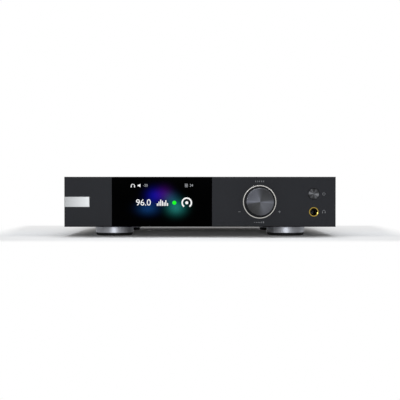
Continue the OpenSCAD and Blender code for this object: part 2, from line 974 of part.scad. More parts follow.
module top_cover() {
    skirt_z = 0.5;
    color(sheet_colour) difference() {
        plate_xz(shoulder_d, body_d) difference() {
            arch(cover_x, skirt_z, cover_z, cover_bend);
            arch(cover_in_x, -past, cover_in_z, bend_in);
        }
        at_side_screws()
            flat_screw_hole(m3_hole_r, side_screw_l, flat_head_r + thread_gap);
    }
}

module cover_screws() {
    color(steel_colour) at_side_screws() flat_screw(m3_r, side_screw_l, flat_head_r);
}

module rear_panel() {
    p = rear_side_screw_place();
    color(sheet_colour) difference() {
        union() {
            plate_xz(rear_in, body_d) arch(sheet_x, base_t, sheet_z, bend_in);
            for (i = [-1, 1])
                box(i > 0 ? sheet_x - rear_t : -sheet_x, i > 0 ? sheet_x : rear_t - sheet_x,
                    rear_in - rear_flange_l, rear_in, rear_flange_z, sheet_z - 2 * bend_in);
        }
        plate_xz(rear_in - past, body_d + past) rear_cuts();
        for (i = [-1, 1])
            side_hole(i, p[0], p[1], sheet_x - rear_t - past, sheet_x + past);
    }
}

// Openings of the rear panel for its sockets and screws
module rear_cuts() {
    for (x = xlr_places) {
        translate([x, mid]) circle(xlr_body_r + thread_gap);
        for (i = [-1, 1])
            translate([x - i * xlr_screw[0], mid + i * xlr_screw[1]]) circle(m3_hole_r);
    }
    for (x = rca_places) translate([x, rca_z]) circle(rca_hole);
    centred_rect(optical_x, deck_z + optical_h / 2,
        optical_w + 2 * fit_gap, optical_h + 2 * fit_gap);
    centred_rect(usb_x, deck_z + usb_h / 2, usb_w + 2 * fit_gap, usb_h + 2 * fit_gap);
    centred_rect(inlet_x, mid, inlet_body_w + 2 * fit_gap, inlet_body_h + 2 * fit_gap);
    for (i = [-1, 1]) translate([inlet_x + i * inlet_screw_x, mid]) circle(m3_hole_r);
    centred_rect(rocker_x, mid, rocker_body_w + 2 * fit_gap, rocker_body_h + 2 * fit_gap);
    for (x = rear_screws_x) translate([x, rear_screw_z]) circle(m3_hole_r);
}

// Screws of the rear panel, the XLR flanges and the mains inlet
module rear_screws() {
    color(steel_colour) {
        for (x = rear_screws_x) screw_forward(x, rear_screw_z, body_d, rear_screw_l);
        for (x = xlr_places, i = [-1, 1])
            screw_forward(x - i * xlr_screw[0], mid + i * xlr_screw[1],
                body_d + xlr_flange_t, rear_screw_l);
        for (i = [-1, 1])
            screw_forward(inlet_x + i * inlet_screw_x, mid, body_d + inlet_flange_t, rear_screw_l);
    }
}

// Feet

// A turned shell, open below for its pad and its screw
module foot(place) {
    z0 = pad_proud - foot_h;
    seat = z0 + pad_seat;
    counterbore = -foot_floor;
    color(silver_colour) turned_z(place[0], place[1]) polygon([
        [m4_hole_r, 0], [foot_r - edge_break, 0], [foot_r, -edge_break],
        [foot_r, z0 + edge_break], [foot_r - edge_break, z0],
        [pad_r + thread_gap, z0], [pad_r + thread_gap, seat],
        [pad_hole, seat], [pad_hole, counterbore], [m4_hole_r, counterbore]
    ]);
}

module foot_front_left() { foot(foot_places[0]); }
module foot_front_right() { foot(foot_places[1]); }
module foot_rear_left() { foot(foot_places[2]); }
module foot_rear_right() { foot(foot_places[3]); }

module foot_pads() {
    seat = pad_proud + pad_seat - foot_h;
    color(rubber_colour) for (p = foot_places)
        turned_z(p[0], p[1]) polygon([
            [pad_hole, -foot_h], [pad_r - edge_break, -foot_h],
            [pad_r, -foot_h + edge_break], [pad_r, seat], [pad_hole, seat]
        ]);
}

module foot_screws() {
    color(steel_colour) for (p = foot_places)
        translate([p[0], front_y + p[1], foot_h - foot_floor])
            pan_screw(m4_r, foot_floor + boss_top, m4_head_r, m4_head_h);
}

// Boards in the case

module drilled_board(x0, x1, d0, d1, holes) {
    color(board_colour) plate_xy(board_z, deck_z) difference() {
        translate([x0, d0]) square([x1 - x0, d1 - d0]);
        for (p = holes) translate(p) circle(m3_hole_r);
    }
}

module main_board() {
    drilled_board(main_x0, main_x1, main_d0, main_d1, main_holes);
}

module power_board() {
    drilled_board(power_x0, power_x1, power_d0, power_d1, power_holes);
}

module board_standoffs() {
    color(gold_colour) for (p = board_holes) difference() {
        hex_z(p[0], p[1], hex_af, base_t, board_z);
        rod_z(p[0], p[1], m3_hole_r, base_t - past, board_z + past);
    }
}

// Screws from above and from below each standoff
module board_screws() {
    grip = standoff_h / 2 - 2 * thread_gap;
    color(steel_colour) for (p = board_holes) {
        screw_down(p[0], p[1], deck_z, board_t + grip);
        translate([p[0], front_y + p[1], foot_h])
            pan_screw(m3_r, base_t + grip, m3_head_r, m3_head_h);
    }
}

// A folded can over the converter circuit
module dac_shield() {
    t = shield_t;
    x0 = right - shield_side;
    d0 = main_d0 + shield_inset;
    color("#b9bcc0") difference() {
        box(x0, x0 + shield_w, d0, d0 + shield_l, deck_z, deck_z + shield_h);
        box(x0 + t, x0 + shield_w - t, d0 + t, d0 + shield_l - t,
            deck_z - past, deck_z + shield_h - t);
    }
}

module can_capacitor(x, d, r, h) {
    turned_z(x, d) polygon([
        [0, deck_z], [r, deck_z], [r, deck_z + h - edge_break],
        [r - edge_break, deck_z + h], [0, deck_z + h]
    ]);
}

module audio_capacitors() {
    color("#3d5a80") for (i = [0 : audio_cap_columns - 1], j = [0 : audio_cap_rows - 1])
        can_capacitor(right - audio_cap_side + i * audio_cap_step,
            main_d0 + audio_cap_inset + j * audio_cap_step, audio_cap_r, audio_cap_h);
}

module output_relays() {
    relay_d1 = body_d - xlr_body_l - xlr_leg_l - relay_gap;
    color("#dfe3e6") for (x = xlr_places)
        box(x - relay_w / 2, x + relay_w / 2, relay_d1 - relay_l, relay_d1,
            deck_z, deck_z + relay_h);
}

module power_capacitors() {
    rows = floor((power_l - 2 * hole_inset) / power_cap_step);
    color("#25262b") for (i = [0, 1], j = [0 : rows - 1])
        can_capacitor(power_x0 + power_cap_x + i * power_cap_step,
            power_d0 + power_cap_d + j * power_cap_step, power_cap_r, power_cap_h);
}

// An extruded comb with upright fins
module regulator_heatsink() {
    x0 = power_x0 + sink_x;
    d0 = power_d0 + sink_front;
    d1 = power_d1 - sink_rear;
    color("#1f2022") union() {
        box(x0, x0 + sink_w, d0, d1, deck_z, deck_z + fin_root);
        for (i = [0 : fins - 1])
            box(x0 + i * fin_step, x0 + i * fin_step + fin_t, d0, d1, deck_z, deck_z + fin_h);
    }
}

// Transformer

// The wrapped winding as one ring with rounded edges
module toroid_winding() {
    round_r = toroid_round;
    z0 = toroid_z;
    z1 = toroid_z + toroid_h;
    color(copper_colour) turned_z(toroid_x, toroid_d) union() {
        translate([toroid_hole + round_r, z0])
            square([toroid_r - toroid_hole - 2 * round_r, z1 - z0]);
        translate([toroid_hole, z0 + round_r])
            square([toroid_r - toroid_hole, z1 - z0 - 2 * round_r]);
        for (r = [toroid_hole + round_r, toroid_r - round_r], z = [z0 + round_r, z1 - round_r])
            translate([r, z]) circle(round_r);
    }
}

// Rubber rings under and over the winding
module toroid_pads() {
    color(rubber_colour) for (z = [base_t, toroid_z + toroid_h]) difference() {
        rod_z(toroid_x, toroid_d, toroid_washer_r + toroid_pad_edge, z, z + toroid_pad_t);
        rod_z(toroid_x, toroid_d, bolt_r + bolt_room, z - past, z + toroid_pad_t + past);
    }
}

// Dished washer, bolt from below and nut on top
module toroid_clamp() {
    washer_top = toroid_top + toroid_washer_t;
    nut_top = washer_top + bolt_nut_t;
    color(steel_colour) {
        difference() {
            union() {
                rod_z(toroid_x, toroid_d, toroid_washer_r, toroid_top, washer_top);
                hex_z(toroid_x, toroid_d, bolt_nut_af, washer_top, nut_top);
            }
            rod_z(toroid_x, toroid_d, bolt_r + thread_gap, toroid_top - past, nut_top + past);
        }
        rod_z(toroid_x, toroid_d, bolt_r, 0, nut_top);
        hex_z(toroid_x, toroid_d, bolt_nut_af, -bolt_head_t, 0);
    }
}

// Mains inlet

// A socket outline with two bevelled corners on the earth side
module inlet_outline(x, z, w, h, bevel) {
    translate([x, z]) polygon([
        [-w / 2, -h / 2], [w / 2, -h / 2], [w / 2, h / 2 - bevel],
        [w / 2 - bevel, h / 2], [-w / 2 + bevel, h / 2], [-w / 2, h / 2 - bevel]
    ]);
}

module inlet_socket() {
    mouth = body_d + inlet_flange_t;
    color(plastic_colour) difference() {
        union() {
            plate_xz(body_d, mouth)
                round_rect(inlet_x, mid, inlet_flange_w, inlet_flange_h, inlet_flange_r);
            plate_xz(body_d - inlet_body_l, body_d + past)
                inlet_outline(inlet_x, mid, inlet_body_w, inlet_body_h, inlet_bevel);
        }
        plate_xz(mouth - inlet_mouth_l, mouth + past)
            inlet_outline(inlet_x, mid, inlet_mouth_w, inlet_mouth_h, inlet_bevel);
        for (i = [-1, 1])
            rod_y(inlet_x + i * inlet_screw_x, mid, m3_hole_r, body_d - past, mouth + past);
        inlet_blades(thread_gap);
    }
}

module inlet_blades(grow) {
    floor_d = body_d + inlet_flange_t - inlet_mouth_l;
    for (p = blade_places)
        box(inlet_x + p[0] - blade_w / 2 - grow, inlet_x + p[0] + blade_w / 2 + grow,
            body_d - inlet_body_l - blade_tail, floor_d + blade_l,
            mid + p[1] - blade_h / 2 - grow, mid + p[1] + blade_h / 2 + grow);
}

module inlet_pins() {
    color(silver_colour) inlet_blades(0);
}

// Mains rocker switch

module rocker_frame() {
    mouth = body_d + rocker_bezel_t;
    half_mouth = rocker_half_w + rocker_side_gap;
    color(plastic_colour) difference() {
        union() {
            plate_xz(body_d, mouth)
                round_rect(rocker_x, mid, rocker_bezel_w, rocker_bezel_h, rocker_bezel_r);
            plate_xz(body_d - rocker_body_l, body_d + past)
                centred_rect(rocker_x, mid, rocker_body_w, rocker_body_h);
            for (j = [-1, 1])
                box(rocker_x - rocker_tail_w / 2, rocker_x + rocker_tail_w / 2,
                    body_d - rocker_body_l - rocker_tail_l, body_d - rocker_body_l + past,
                    mid + j * rocker_tail_z - rocker_tail_h / 2,
                    mid + j * rocker_tail_z + rocker_tail_h / 2);
        }
        plate_yz(rocker_x - half_mouth, rocker_x + half_mouth)
            translate([rocker_d - rocker_deep, mid - rocker_mouth_r])
                square([rocker_deep + mouth - rocker_d + past, 2 * rocker_mouth_r]);
        rocker_pins(rocker_pin_r + thread_gap, rocker_pin_x + fit_gap);
    }
}

module rocker_pins(r, reach) {
    translate([rocker_x - reach, front_y + rocker_d, foot_h + mid]) rotate([0, 90, 0])
        cylinder(r = r, h = 2 * reach);
}

// A rocker with a shallow V face, resting with its upper end in
module power_rocker() {
    color("#242427") union() {
        plate_yz(rocker_x - rocker_half_w, rocker_x + rocker_half_w)
            translate([rocker_d, mid]) rotate(rocker_tilt) intersection() {
                circle(rocker_r);
                polygon([
                    [-rocker_inner, -rocker_r], [rocker_face_end, -rocker_r],
                    [rocker_face_mid, 0], [rocker_face_end, rocker_r],
                    [-rocker_inner, rocker_r]
                ]);
            }
        rocker_pins(rocker_pin_r, rocker_pin_x);
    }
}

// Balanced outputs

// A flanged shell with a round cup, on a leg down to the board
module xlr_socket(x) {
    mouth = body_d + xlr_flange_t;
    body_d0 = body_d - xlr_body_l;
    color("#303236") difference() {
        union() {
            plate_xz(body_d, mouth)
                round_rect(x, mid, xlr_flange_w, xlr_flange_h, xlr_flange_r);
            rod_y(x, mid, xlr_body_r, body_d0, body_d + past);
            box(x - xlr_leg_w / 2, x + xlr_leg_w / 2, body_d0 - xlr_leg_l, body_d0,
                deck_z, mid + xlr_leg_w / 2);
        }
        rod_y(x, mid, xlr_cavity_r, mouth - xlr_cavity_l - xlr_flange_t, mouth + past);
        for (i = [-1, 1])
            rod_y(x - i * xlr_screw[0], mid + i * xlr_screw[1], m3_hole_r,
                body_d - past, mouth + past);
        xlr_pin_set(x, xlr_pin_r + thread_gap);
    }
}

// Three pins on a ring, from the insulating floor to just inside the mouth
module xlr_pin_set(x, r) {
    floor_d = body_d - xlr_cavity_l;
    for (a = xlr_pin_angles)
        rod_y(x + xlr_pin_ring * cos(a), mid + xlr_pin_ring * sin(a), r,
            floor_d - xlr_pin_root, floor_d + xlr_pin_l);
}

module xlr_left() { xlr_socket(xlr_places[0]); }
module xlr_right() { xlr_socket(xlr_places[1]); }

module xlr_pins() {
    color(gold_colour) for (x = xlr_places) xlr_pin_set(x, xlr_pin_r);
}

// Phono sockets

// A plated barrel with a hexagonal flange against the rear panel
module phono_barrel(x) {
    color(gold_colour) difference() {
        union() {
            rod_y(x, rca_z, rca_r, rear_in, body_d + rca_reach);
            hex_y(x, rca_z, rca_hex_af, body_d, body_d + rca_hex_t);
        }
        rod_y(x, rca_z, rca_bore, rear_in - past, body_d + rca_reach + past);
    }
}

module rca_left() { phono_barrel(rca_places[0]); }
module rca_right() { phono_barrel(rca_places[1]); }
module coax_input() { phono_barrel(rca_places[2]); }

// Moulded cores inside the barrels, each with a block on the board
module rca_insulators() {
    core_d1 = body_d + rca_reach - rca_core_short;
    half = rca_block_w / 2;
    color("#e8e4da") for (x = rca_places) difference() {
        union() {
            box(x - half, x + half, rear_in - rca_block_l, rear_in, deck_z, rca_z + half);
            rod_y(x, rca_z, rca_core_r, rear_in - past, core_d1);
        }
        rod_y(x, rca_z, rca_pin_bore, rear_in - rca_block_l / 2, core_d1 + past);
    }
}

// Data sockets

// A folded shell with bevelled upper corners round a tongue
module usb_socket() {
    mouth = body_d + usb_proud;
    floor_d = mouth - usb_mouth_l;
    tongue_z = deck_z + usb_h / 2;
    inner_bevel = usb_bevel - usb_wall / 2;
    color(silver_colour) union() {
        difference() {
            plate_xz(mouth - usb_l, mouth)
                inlet_outline(usb_x, deck_z + usb_h / 2, usb_w, usb_h, usb_bevel);
            plate_xz(floor_d, mouth + past)
                inlet_outline(usb_x, deck_z + usb_h / 2, usb_w - 2 * usb_wall,
                    usb_h - 2 * usb_wall, inner_bevel);
        }
        box(usb_x - usb_tongue_w / 2, usb_x + usb_tongue_w / 2,
            floor_d - past, mouth - usb_tongue_short,
            tongue_z - usb_tongue_h / 2, tongue_z + usb_tongue_h / 2);
    }
}

module optical_socket() {
    mouth = body_d + optical_proud;
    floor_z = deck_z + optical_floor;
    color(plastic_colour) difference() {
        box(optical_x - optical_w / 2, optical_x + optical_w / 2,
            mouth - optical_l, mouth, deck_z, deck_z + optical_h);
        box(optical_x - optical_mouth_w / 2, optical_x + optical_mouth_w / 2,
            mouth - optical_mouth_l, mouth + past, floor_z, floor_z + optical_mouth_h);
        shutter_pins(shutter_pin_r + thread_gap, shutter_pin_x + thread_gap);
    }
}

module shutter_pins(r, reach) {
    translate([optical_x - reach, front_y + shutter_d, foot_h + shutter_z]) rotate([0, 90, 0])
        cylinder(r = r, h = 2 * reach);
}

// A flap that hangs in the mouth from two pins and swings inwards
module optical_shutter() {
    color("#3a3c40") union() {
        plate_yz(optical_x - shutter_w / 2, optical_x + shutter_w / 2) union() {
            translate([shutter_d - shutter_t / 2, shutter_z - shutter_l])
                square([shutter_t, shutter_l]);
            translate([shutter_d, shutter_z]) circle(shutter_t / 2);
        }
        shutter_pins(shutter_pin_r, shutter_pin_x);
    }
}

// Wiring

mains_wire_r = 1.1;
rocker_tail_d = body_d - rocker_body_l - rocker_tail_l;
blade_tail_d = body_d - inlet_body_l - blade_tail;

// Live and neutral leads, the transformer's leads and the supply to the main board
module internal_wires() {
    live = blade_places[1];
    neutral = blade_places[0];
    tail_z = mid + rocker_tail_z;
    land_d = power_d1 - 6;
    toroid_side = toroid_x + toroid_r + run_gap;
    bridge_d = power_d1 - 20;
    color("#7a2f2f") {
        wire([
            [inlet_x + live[0], blade_tail_d, mid + live[1]],
            [inlet_x + live[0], blade_tail_d - 3, mid + live[1]],
            [(inlet_x + rocker_x) / 2 + 6, blade_tail_d - 3, tail_z + 2],
            [rocker_x, rocker_tail_d - 4, tail_z],
            [rocker_x, rocker_tail_d, tail_z]
        ], mains_wire_r, [0, 0, 1]);
        wire([
            [rocker_x, rocker_tail_d, mid - rocker_tail_z],
            [rocker_x, rocker_tail_d - 3, mid - rocker_tail_z],
            [rocker_x - 2, land_d, deck_z + 5],
            [rocker_x - 2, land_d, deck_z]
        ], mains_wire_r, [1, 0, 0]);
        wire([
            [inlet_x + neutral[0], blade_tail_d, mid + neutral[1]],
            [inlet_x + neutral[0], blade_tail_d - 3, mid + neutral[1]],
            [inlet_x + neutral[0], land_d + 1, deck_z + 5],
            [inlet_x + neutral[0], land_d + 1, deck_z]
        ], mains_wire_r, [1, 0, 0]);
        wire([
            [toroid_side, toroid_d, toroid_z + toroid_h / 2],
            [toroid_side + 3, toroid_d, toroid_z + toroid_h / 2],
            [toroid_side - 2, power_d0 - 8, deck_z + 14],
            [power_x1 - 3, power_d0 + 13, deck_z + 6],
            [power_x1 - 3, power_d0 + 13, deck_z]
        ], mains_wire_r, unit([1, 0, 1]));
        wire([
            [power_x1 - 3, bridge_d, deck_z],
            [power_x1 - 3, bridge_d, deck_z + 5],
            [(power_x1 + main_x0) / 2, bridge_d, deck_z + 9],
            [main_x0 + 5, bridge_d, deck_z + 5],
            [main_x0 + 5, bridge_d, deck_z]
        ], mains_wire_r, [0, 1, 0]);
    }
}

// A flat cable from the front board down to the main board, with its two plugs
module ribbon_cable() {
    cable_t = 0.6;
    cable_w = 20;
    plug_w = 24;
    plug_l = 6;
    plug_h = 6;
    cable_x = knob_x + 22;
    front_d = front_board_d1 + plug_l;
    rear_d = main_d0 + 4;
    plug_z = deck_z + 4;
    route = [
        [front_d, mid, 0], [front_d + 8, mid, 0], [front_d + 24, (mid + plug_z) / 2, 0],
        [rear_d - 8, plug_z, 0], [rear_d, plug_z, 0]
    ];
    path = curve(route);
    normals = [
        for (i = [0 : len(path) - 1])
            let (t = heading(route, path, i)) [-t[1], t[0]] * cable_t / 2
    ];
    upper = [for (i = [0 : len(path) - 1]) [path[i][0], path[i][1]] + normals[i]];
    lower = [for (i = [len(path) - 1 : -1 : 0]) [path[i][0], path[i][1]] - normals[i]];
    color("#8c8f94") {
        plate_yz(cable_x - cable_w / 2, cable_x + cable_w / 2) polygon(concat(upper, lower));
        box(cable_x - plug_w / 2, cable_x + plug_w / 2, front_board_d1, front_d,
            mid - plug_h / 2, mid + plug_h / 2);
        box(cable_x - plug_w / 2, cable_x + plug_w / 2, rear_d, rear_d + plug_l,
            deck_z, deck_z + plug_h + past);
    }
}

front_panel();
display_window();
display_module();
display_bracket();
badge_plate();
front_board();
front_screws();
knob_ring();
knob_body();
encoder_body();
encoder_bush();
encoder_nut();
encoder_rotor();
encoder_shaft();
encoder_plunger();
power_button();
power_switch();
power_switch_plunger();
headphone_ring();
headphone_jack();
base_pan();
top_cover();
cover_screws();
rear_panel();
rear_screws();
foot_front_left();
foot_front_right();
foot_rear_left();
foot_rear_right();
foot_pads();
foot_screws();
main_board();
board_standoffs();
board_screws();
dac_shield();
audio_capacitors();
output_relays();
power_board();
power_capacitors();
regulator_heatsink();
toroid_winding();
toroid_pads();
toroid_clamp();
inlet_socket();
inlet_pins();
rocker_frame();
power_rocker();
xlr_left();
xlr_right();
xlr_pins();
rca_left();
rca_right();
coax_input();
rca_insulators();
usb_socket();
optical_socket();
optical_shutter();
internal_wires();
ribbon_cable();
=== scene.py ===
import json
import math

import bmesh
import bpy
from mathutils import Matrix, Vector


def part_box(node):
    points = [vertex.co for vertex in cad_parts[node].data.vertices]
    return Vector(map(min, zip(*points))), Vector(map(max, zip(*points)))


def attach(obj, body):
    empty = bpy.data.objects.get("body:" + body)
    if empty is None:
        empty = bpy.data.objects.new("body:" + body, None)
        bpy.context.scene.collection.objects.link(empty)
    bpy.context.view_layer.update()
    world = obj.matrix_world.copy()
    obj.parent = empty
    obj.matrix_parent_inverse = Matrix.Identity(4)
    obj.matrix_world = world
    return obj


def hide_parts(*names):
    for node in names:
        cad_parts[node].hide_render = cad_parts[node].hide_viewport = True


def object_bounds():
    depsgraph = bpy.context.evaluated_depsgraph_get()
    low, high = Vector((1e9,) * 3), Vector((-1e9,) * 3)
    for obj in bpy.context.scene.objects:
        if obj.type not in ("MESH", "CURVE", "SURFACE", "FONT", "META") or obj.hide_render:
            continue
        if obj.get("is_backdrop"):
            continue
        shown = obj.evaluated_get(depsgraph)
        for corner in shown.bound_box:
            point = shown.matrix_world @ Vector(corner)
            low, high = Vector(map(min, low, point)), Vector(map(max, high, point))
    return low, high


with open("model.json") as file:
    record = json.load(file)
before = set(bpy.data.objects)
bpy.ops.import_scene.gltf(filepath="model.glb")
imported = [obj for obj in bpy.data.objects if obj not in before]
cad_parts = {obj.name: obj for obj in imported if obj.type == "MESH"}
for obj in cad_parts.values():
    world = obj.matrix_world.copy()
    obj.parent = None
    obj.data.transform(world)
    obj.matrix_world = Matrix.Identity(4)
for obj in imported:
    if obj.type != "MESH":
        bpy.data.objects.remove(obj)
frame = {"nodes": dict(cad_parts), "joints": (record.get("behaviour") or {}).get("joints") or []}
cad_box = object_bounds()

# View and studio: a level shot from straight ahead with a long lens, a metre away. A
# strip light hangs close overhead, a wide box stands low, three metres in front, and a
# box behind lights only the object. The floor is a white sweep that keeps its shadow,
# with white light painted into it near the object and a faint painted lift in the shadow.
mm = 0.001
camera_dip = 0.708
lens = bpy.data.cameras.new("front_view")
lens.sensor_width = 36
lens.lens = 87.3
camera = bpy.data.objects.new("front_view", lens)
camera.location = (0, -1062 * mm, 48.3 * mm)
camera.rotation_euler = (math.radians(90 - camera_dip), 0, 0)
bpy.context.scene.collection.objects.link(camera)
bpy.context.scene.camera = camera
bpy.context.scene.view_settings.view_transform = "Standard"


class Flow:
    """A socket in a node tree. Arithmetic on it adds Math nodes, and make adds any other."""

    def __init__(self, tree, socket=None):
        self.tree = tree
        self.socket = socket

    def make(self, kind, settings=None, sockets=None, out=0):
        """A new node, with its settings first and then its sockets' values or links."""
        node = self.tree.nodes.new(kind)
        for name, value in (settings or {}).items():
            if name == "stops":
                ramp = node.color_ramp.elements
                while len(ramp) < len(value):
                    ramp.new(1)
                for stop, (place, level) in zip(ramp, value):
                    stop.position = place
                    stop.color = (level, level, level, 1)
            else:
                setattr(node, name, value)
        for key, value in (sockets or {}).items():
            if isinstance(value, Flow):
                self.tree.links.new(value.socket, node.inputs[key])
            else:
                node.inputs[key].default_value = value
        return Flow(self.tree, node.outputs[out])

    def out(self, name):
        """Another output of the same node."""
        return Flow(self.tree, self.socket.node.outputs[name])

    def along(self, axis):
        """One coordinate of a vector."""
        return self.make("ShaderNodeSeparateXYZ", {}, {0: self}, axis)

    def mapped(self, **how):
        """A vector moved or stretched."""
        return self.make("ShaderNodeMapping", {}, {"Vector": self, **how})

    def maths(self, operation, *others):
        """This value, and any others after it, through one Math node."""
        return self.make("ShaderNodeMath", {"operation": operation}, dict(enumerate((self, *others))))

    def larger(self, other):
        return self.maths("MAXIMUM", other)

    def __add__(self, other):
        return self.maths("ADD", other)

    def __sub__(self, other):
        return self.maths("SUBTRACT", other)

    def __rsub__(self, other):
        return self.make("ShaderNodeMath", {"operation": "SUBTRACT"}, {0: other, 1: self})

    def __mul__(self, other):
        return self.maths("MULTIPLY", other)

    def __truediv__(self, other):
        return self.maths("DIVIDE", other)

    def __pow__(self, other):
        return self.maths("POWER", other)

    def __mod__(self, other):
        return self.maths("FLOORED_MODULO", other)

    def __lt__(self, other):
        return self.maths("LESS_THAN", other)

    def __gt__(self, other):
        return self.maths("GREATER_THAN", other)

    def __abs__(self):
        return self.maths("ABSOLUTE")

    __radd__ = __add__
    __rmul__ = __mul__


def in_sight(tree):
    """One where a surface is seen straight, in a reflection or through glass, and else nought."""
    ray = Flow(tree).make("ShaderNodeLightPath", out="Is Camera Ray")
    return ray.larger(ray.out("Is Glossy Ray")).larger(ray.out("Is Transmission Ray"))


room_level = 0.32
rear_level = room_level * 0.03
rear_from = 0.25
room = bpy.data.worlds.new("white_room")
bpy.context.scene.world = room
room.use_nodes = True
seen = in_sight(room.node_tree)
rearward = seen.make("ShaderNodeTexCoord", out="Generated").along("Y")
dim = seen.make("ShaderNodeMapRange", {}, {"Value": rearward, "From Max": rear_from,
                                           "To Min": room_level, "To Max": rear_level})
level = seen + (1 - seen) * dim
sky = room.node_tree.nodes["Background"]
sky.inputs["Color"].default_value = (1, 1, 1, 1)
room.node_tree.links.new(level.socket, sky.inputs["Strength"])


def softbox(name, place, aim, width, depth, watts):
    """A rectangular lamp at a place, turned to face a point."""
    lamp = bpy.data.lights.new(name, "AREA")
    lamp.shape = "RECTANGLE"
    lamp.size = width
    lamp.size_y = depth
    lamp.energy = watts
    lamp.color = (0.93, 0.96, 1)
    stand = bpy.data.objects.new(name, lamp)
    stand.location = place
    stand.rotation_euler = (Vector(aim) - Vector(place)).to_track_quat("-Z", "Y").to_euler()
    stand.visible_camera = False
    bpy.context.scene.collection.objects.link(stand)
    return stand


softbox("overhead_softbox", place=(0, -0.035, 0.2), aim=(0, -0.035, 0),
        width=0.42, depth=0.06, watts=0.7)
softbox("front_softbox", place=(0, -3.0, 0.27), aim=(0, -0.09, 0.03),
        width=1.2, depth=0.3, watts=25.0)
rear_lamp = softbox("rear_softbox", place=(0, 2.4, 0.5), aim=(0, 0.09, 0.03),
                    width=1.2, depth=0.3, watts=20.0)


def new_finish(name, **even):
    """A material with its even values set on the shader, and coordinates to draw on."""
    finish = bpy.data.materials.new(name)
    finish.use_nodes = True
    shader = finish.node_tree.nodes["Principled BSDF"]
    for socket, value in even.items():
        shader.inputs[socket.replace("_", " ")].default_value = value
    return finish, Flow(finish.node_tree).make("ShaderNodeTexCoord", out="Object")


def piece(name, mesh, finish):
    """An object from a finished mesh, shaded smooth between its real edges."""
    data = bpy.data.meshes.new(name)
    mesh.to_mesh(data)
    mesh.free()
    data.materials.append(finish)
    data.polygons.foreach_set("use_smooth", [True] * len(data.polygons))
    data.set_sharp_from_angle(angle=math.radians(32))
    made = bpy.data.objects.new(name, data)
    bpy.context.scene.collection.objects.link(made)
    return made


def fade(gap, near, clear, most=1, painted_lift=0.02):
    """How much white light is painted into the sweep, from a faint lift at one distance to most at
    another.
    """
    return gap.make("ShaderNodeMapRange", {"interpolation_type": "SMOOTHSTEP"},
                    {"Value": gap, "From Min": near, "From Max": clear,
                     "To Min": painted_lift, "To Max": most})


white_sweep, spot = new_finish("white_sweep", Base_Color=(0.9, 0.9, 0.9, 1), Roughness=0.9,
                               Specular_IOR_Level=0.1)
tree = white_sweep.node_tree
place_y = spot.along("Y")
beside = abs(spot.along("X")) - cad_box[1].x
beyond = abs(place_y) - cad_box[1].y
# Painted light: away from the object the sweep goes evenly white; nearer, these fades paint white
# light into the floor beside, before and behind it, and a faint painted lift into its shadow.
off_side = fade(beside, near=-35 * mm, clear=25 * mm)
behind = off_side * fade(place_y, near=-140 * mm, clear=160 * mm, most=0.7)
before = off_side * fade(place_y * -1, near=50 * mm, clear=110 * mm, most=0.5)
far = fade(beside, near=42 * mm, clear=100 * mm).larger(fade(beyond, near=2 * mm, clear=100 * mm))
far = far.larger(behind.larger(before))
paint = Flow(tree, tree.nodes["Principled BSDF"].outputs[0])
white = spot.make("ShaderNodeEmission", {}, {"Color": (1, 1, 1, 1), "Strength": 1.0})
both = spot.make("ShaderNodeMixShader", {}, {0: far * in_sight(tree), 1: paint, 2: white})
tree.links.new(both.socket, tree.nodes["Material Output"].inputs["Surface"])

sweep_half = 6
sweep_drop = 0.05 * mm
mesh = bmesh.new()
bmesh.ops.create_grid(mesh, x_segments=1, y_segments=1, size=sweep_half,
                      matrix=Matrix.Translation((0, 0, -sweep_drop)))
sweep = piece("sweep", mesh, white_sweep)
sweep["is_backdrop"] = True
unlit = bpy.data.collections.new("not_by_rear_lamp")
unlit.objects.link(sweep)
for entry in unlit.collection_objects:
    entry.light_linking.link_state = "EXCLUDE"
rear_lamp.light_linking.receiver_collection = unlit

# Case sheets: a base pan, a rear panel and a wrap-round cover of folded steel sheet,
# powder coated in dark grey with a fine orange-peel texture and screwed together.


def shade(red, green, blue):
    """A colour as it shows on screen, 0 to 255, in the linear values that sockets take."""
    parts = [v / 255 for v in (red, green, blue)]
    return [v / 12.92 if v <= 0.04045 else ((v + 0.055) / 1.055) ** 2.4 for v in parts] + [1]


def feed(finish, **flows):
    """Links what changes over the surface to the material's shader."""
    shader = finish.node_tree.nodes["Principled BSDF"]
    for socket, flow in flows.items():
        finish.node_tree.links.new(flow.socket, shader.inputs[socket.replace("_", " ")])


def grain(spot, scale, detail=2.0):
    """Soft noise from 0 to 1, with scale in cells a metre."""
    return spot.make("ShaderNodeTexNoise", {},
                     {"Vector": spot, "Scale": scale, "Detail": detail}, "Fac")


def tint(spot, dark, light, share):
    """A colour between two, by a share from 0 to 1."""
    return spot.make("ShaderNodeMix", {"data_type": "RGBA"}, {0: share, 6: dark, 7: light}, 2)


def relief(height, depth):
    """A surface normal from a height of 0 to 1, with its depth in metres."""
    return height.make("ShaderNodeBump", {},
                       {"Height": height, "Strength": 1.0, "Distance": depth}, "Normal")


def dress(finish, *names):
    """Puts a finish on solids that keep their own shape."""
    for name in names:
        for place in frame["nodes"][name].material_slots:
            place.material = finish


powder_coat, spot = new_finish("powder_coat", Specular_IOR_Level=0.25)
peel = grain(spot, 620, 3)
speck = grain(spot, 4200)
mixed = peel * 0.55 + speck * 0.45
feed(powder_coat, Base_Color=tint(spot, shade(31, 32, 34), shade(45, 46, 49), mixed),
     Roughness=0.5 + speck * 0.16, Normal=relief(mixed, 60e-6))
dress(powder_coat, "base_pan", "rear_panel", "top_cover")

# Feet: four turned aluminium shells with broken edges and fine turning lines, satin
# silver, each held by one machine screw through the base pan.


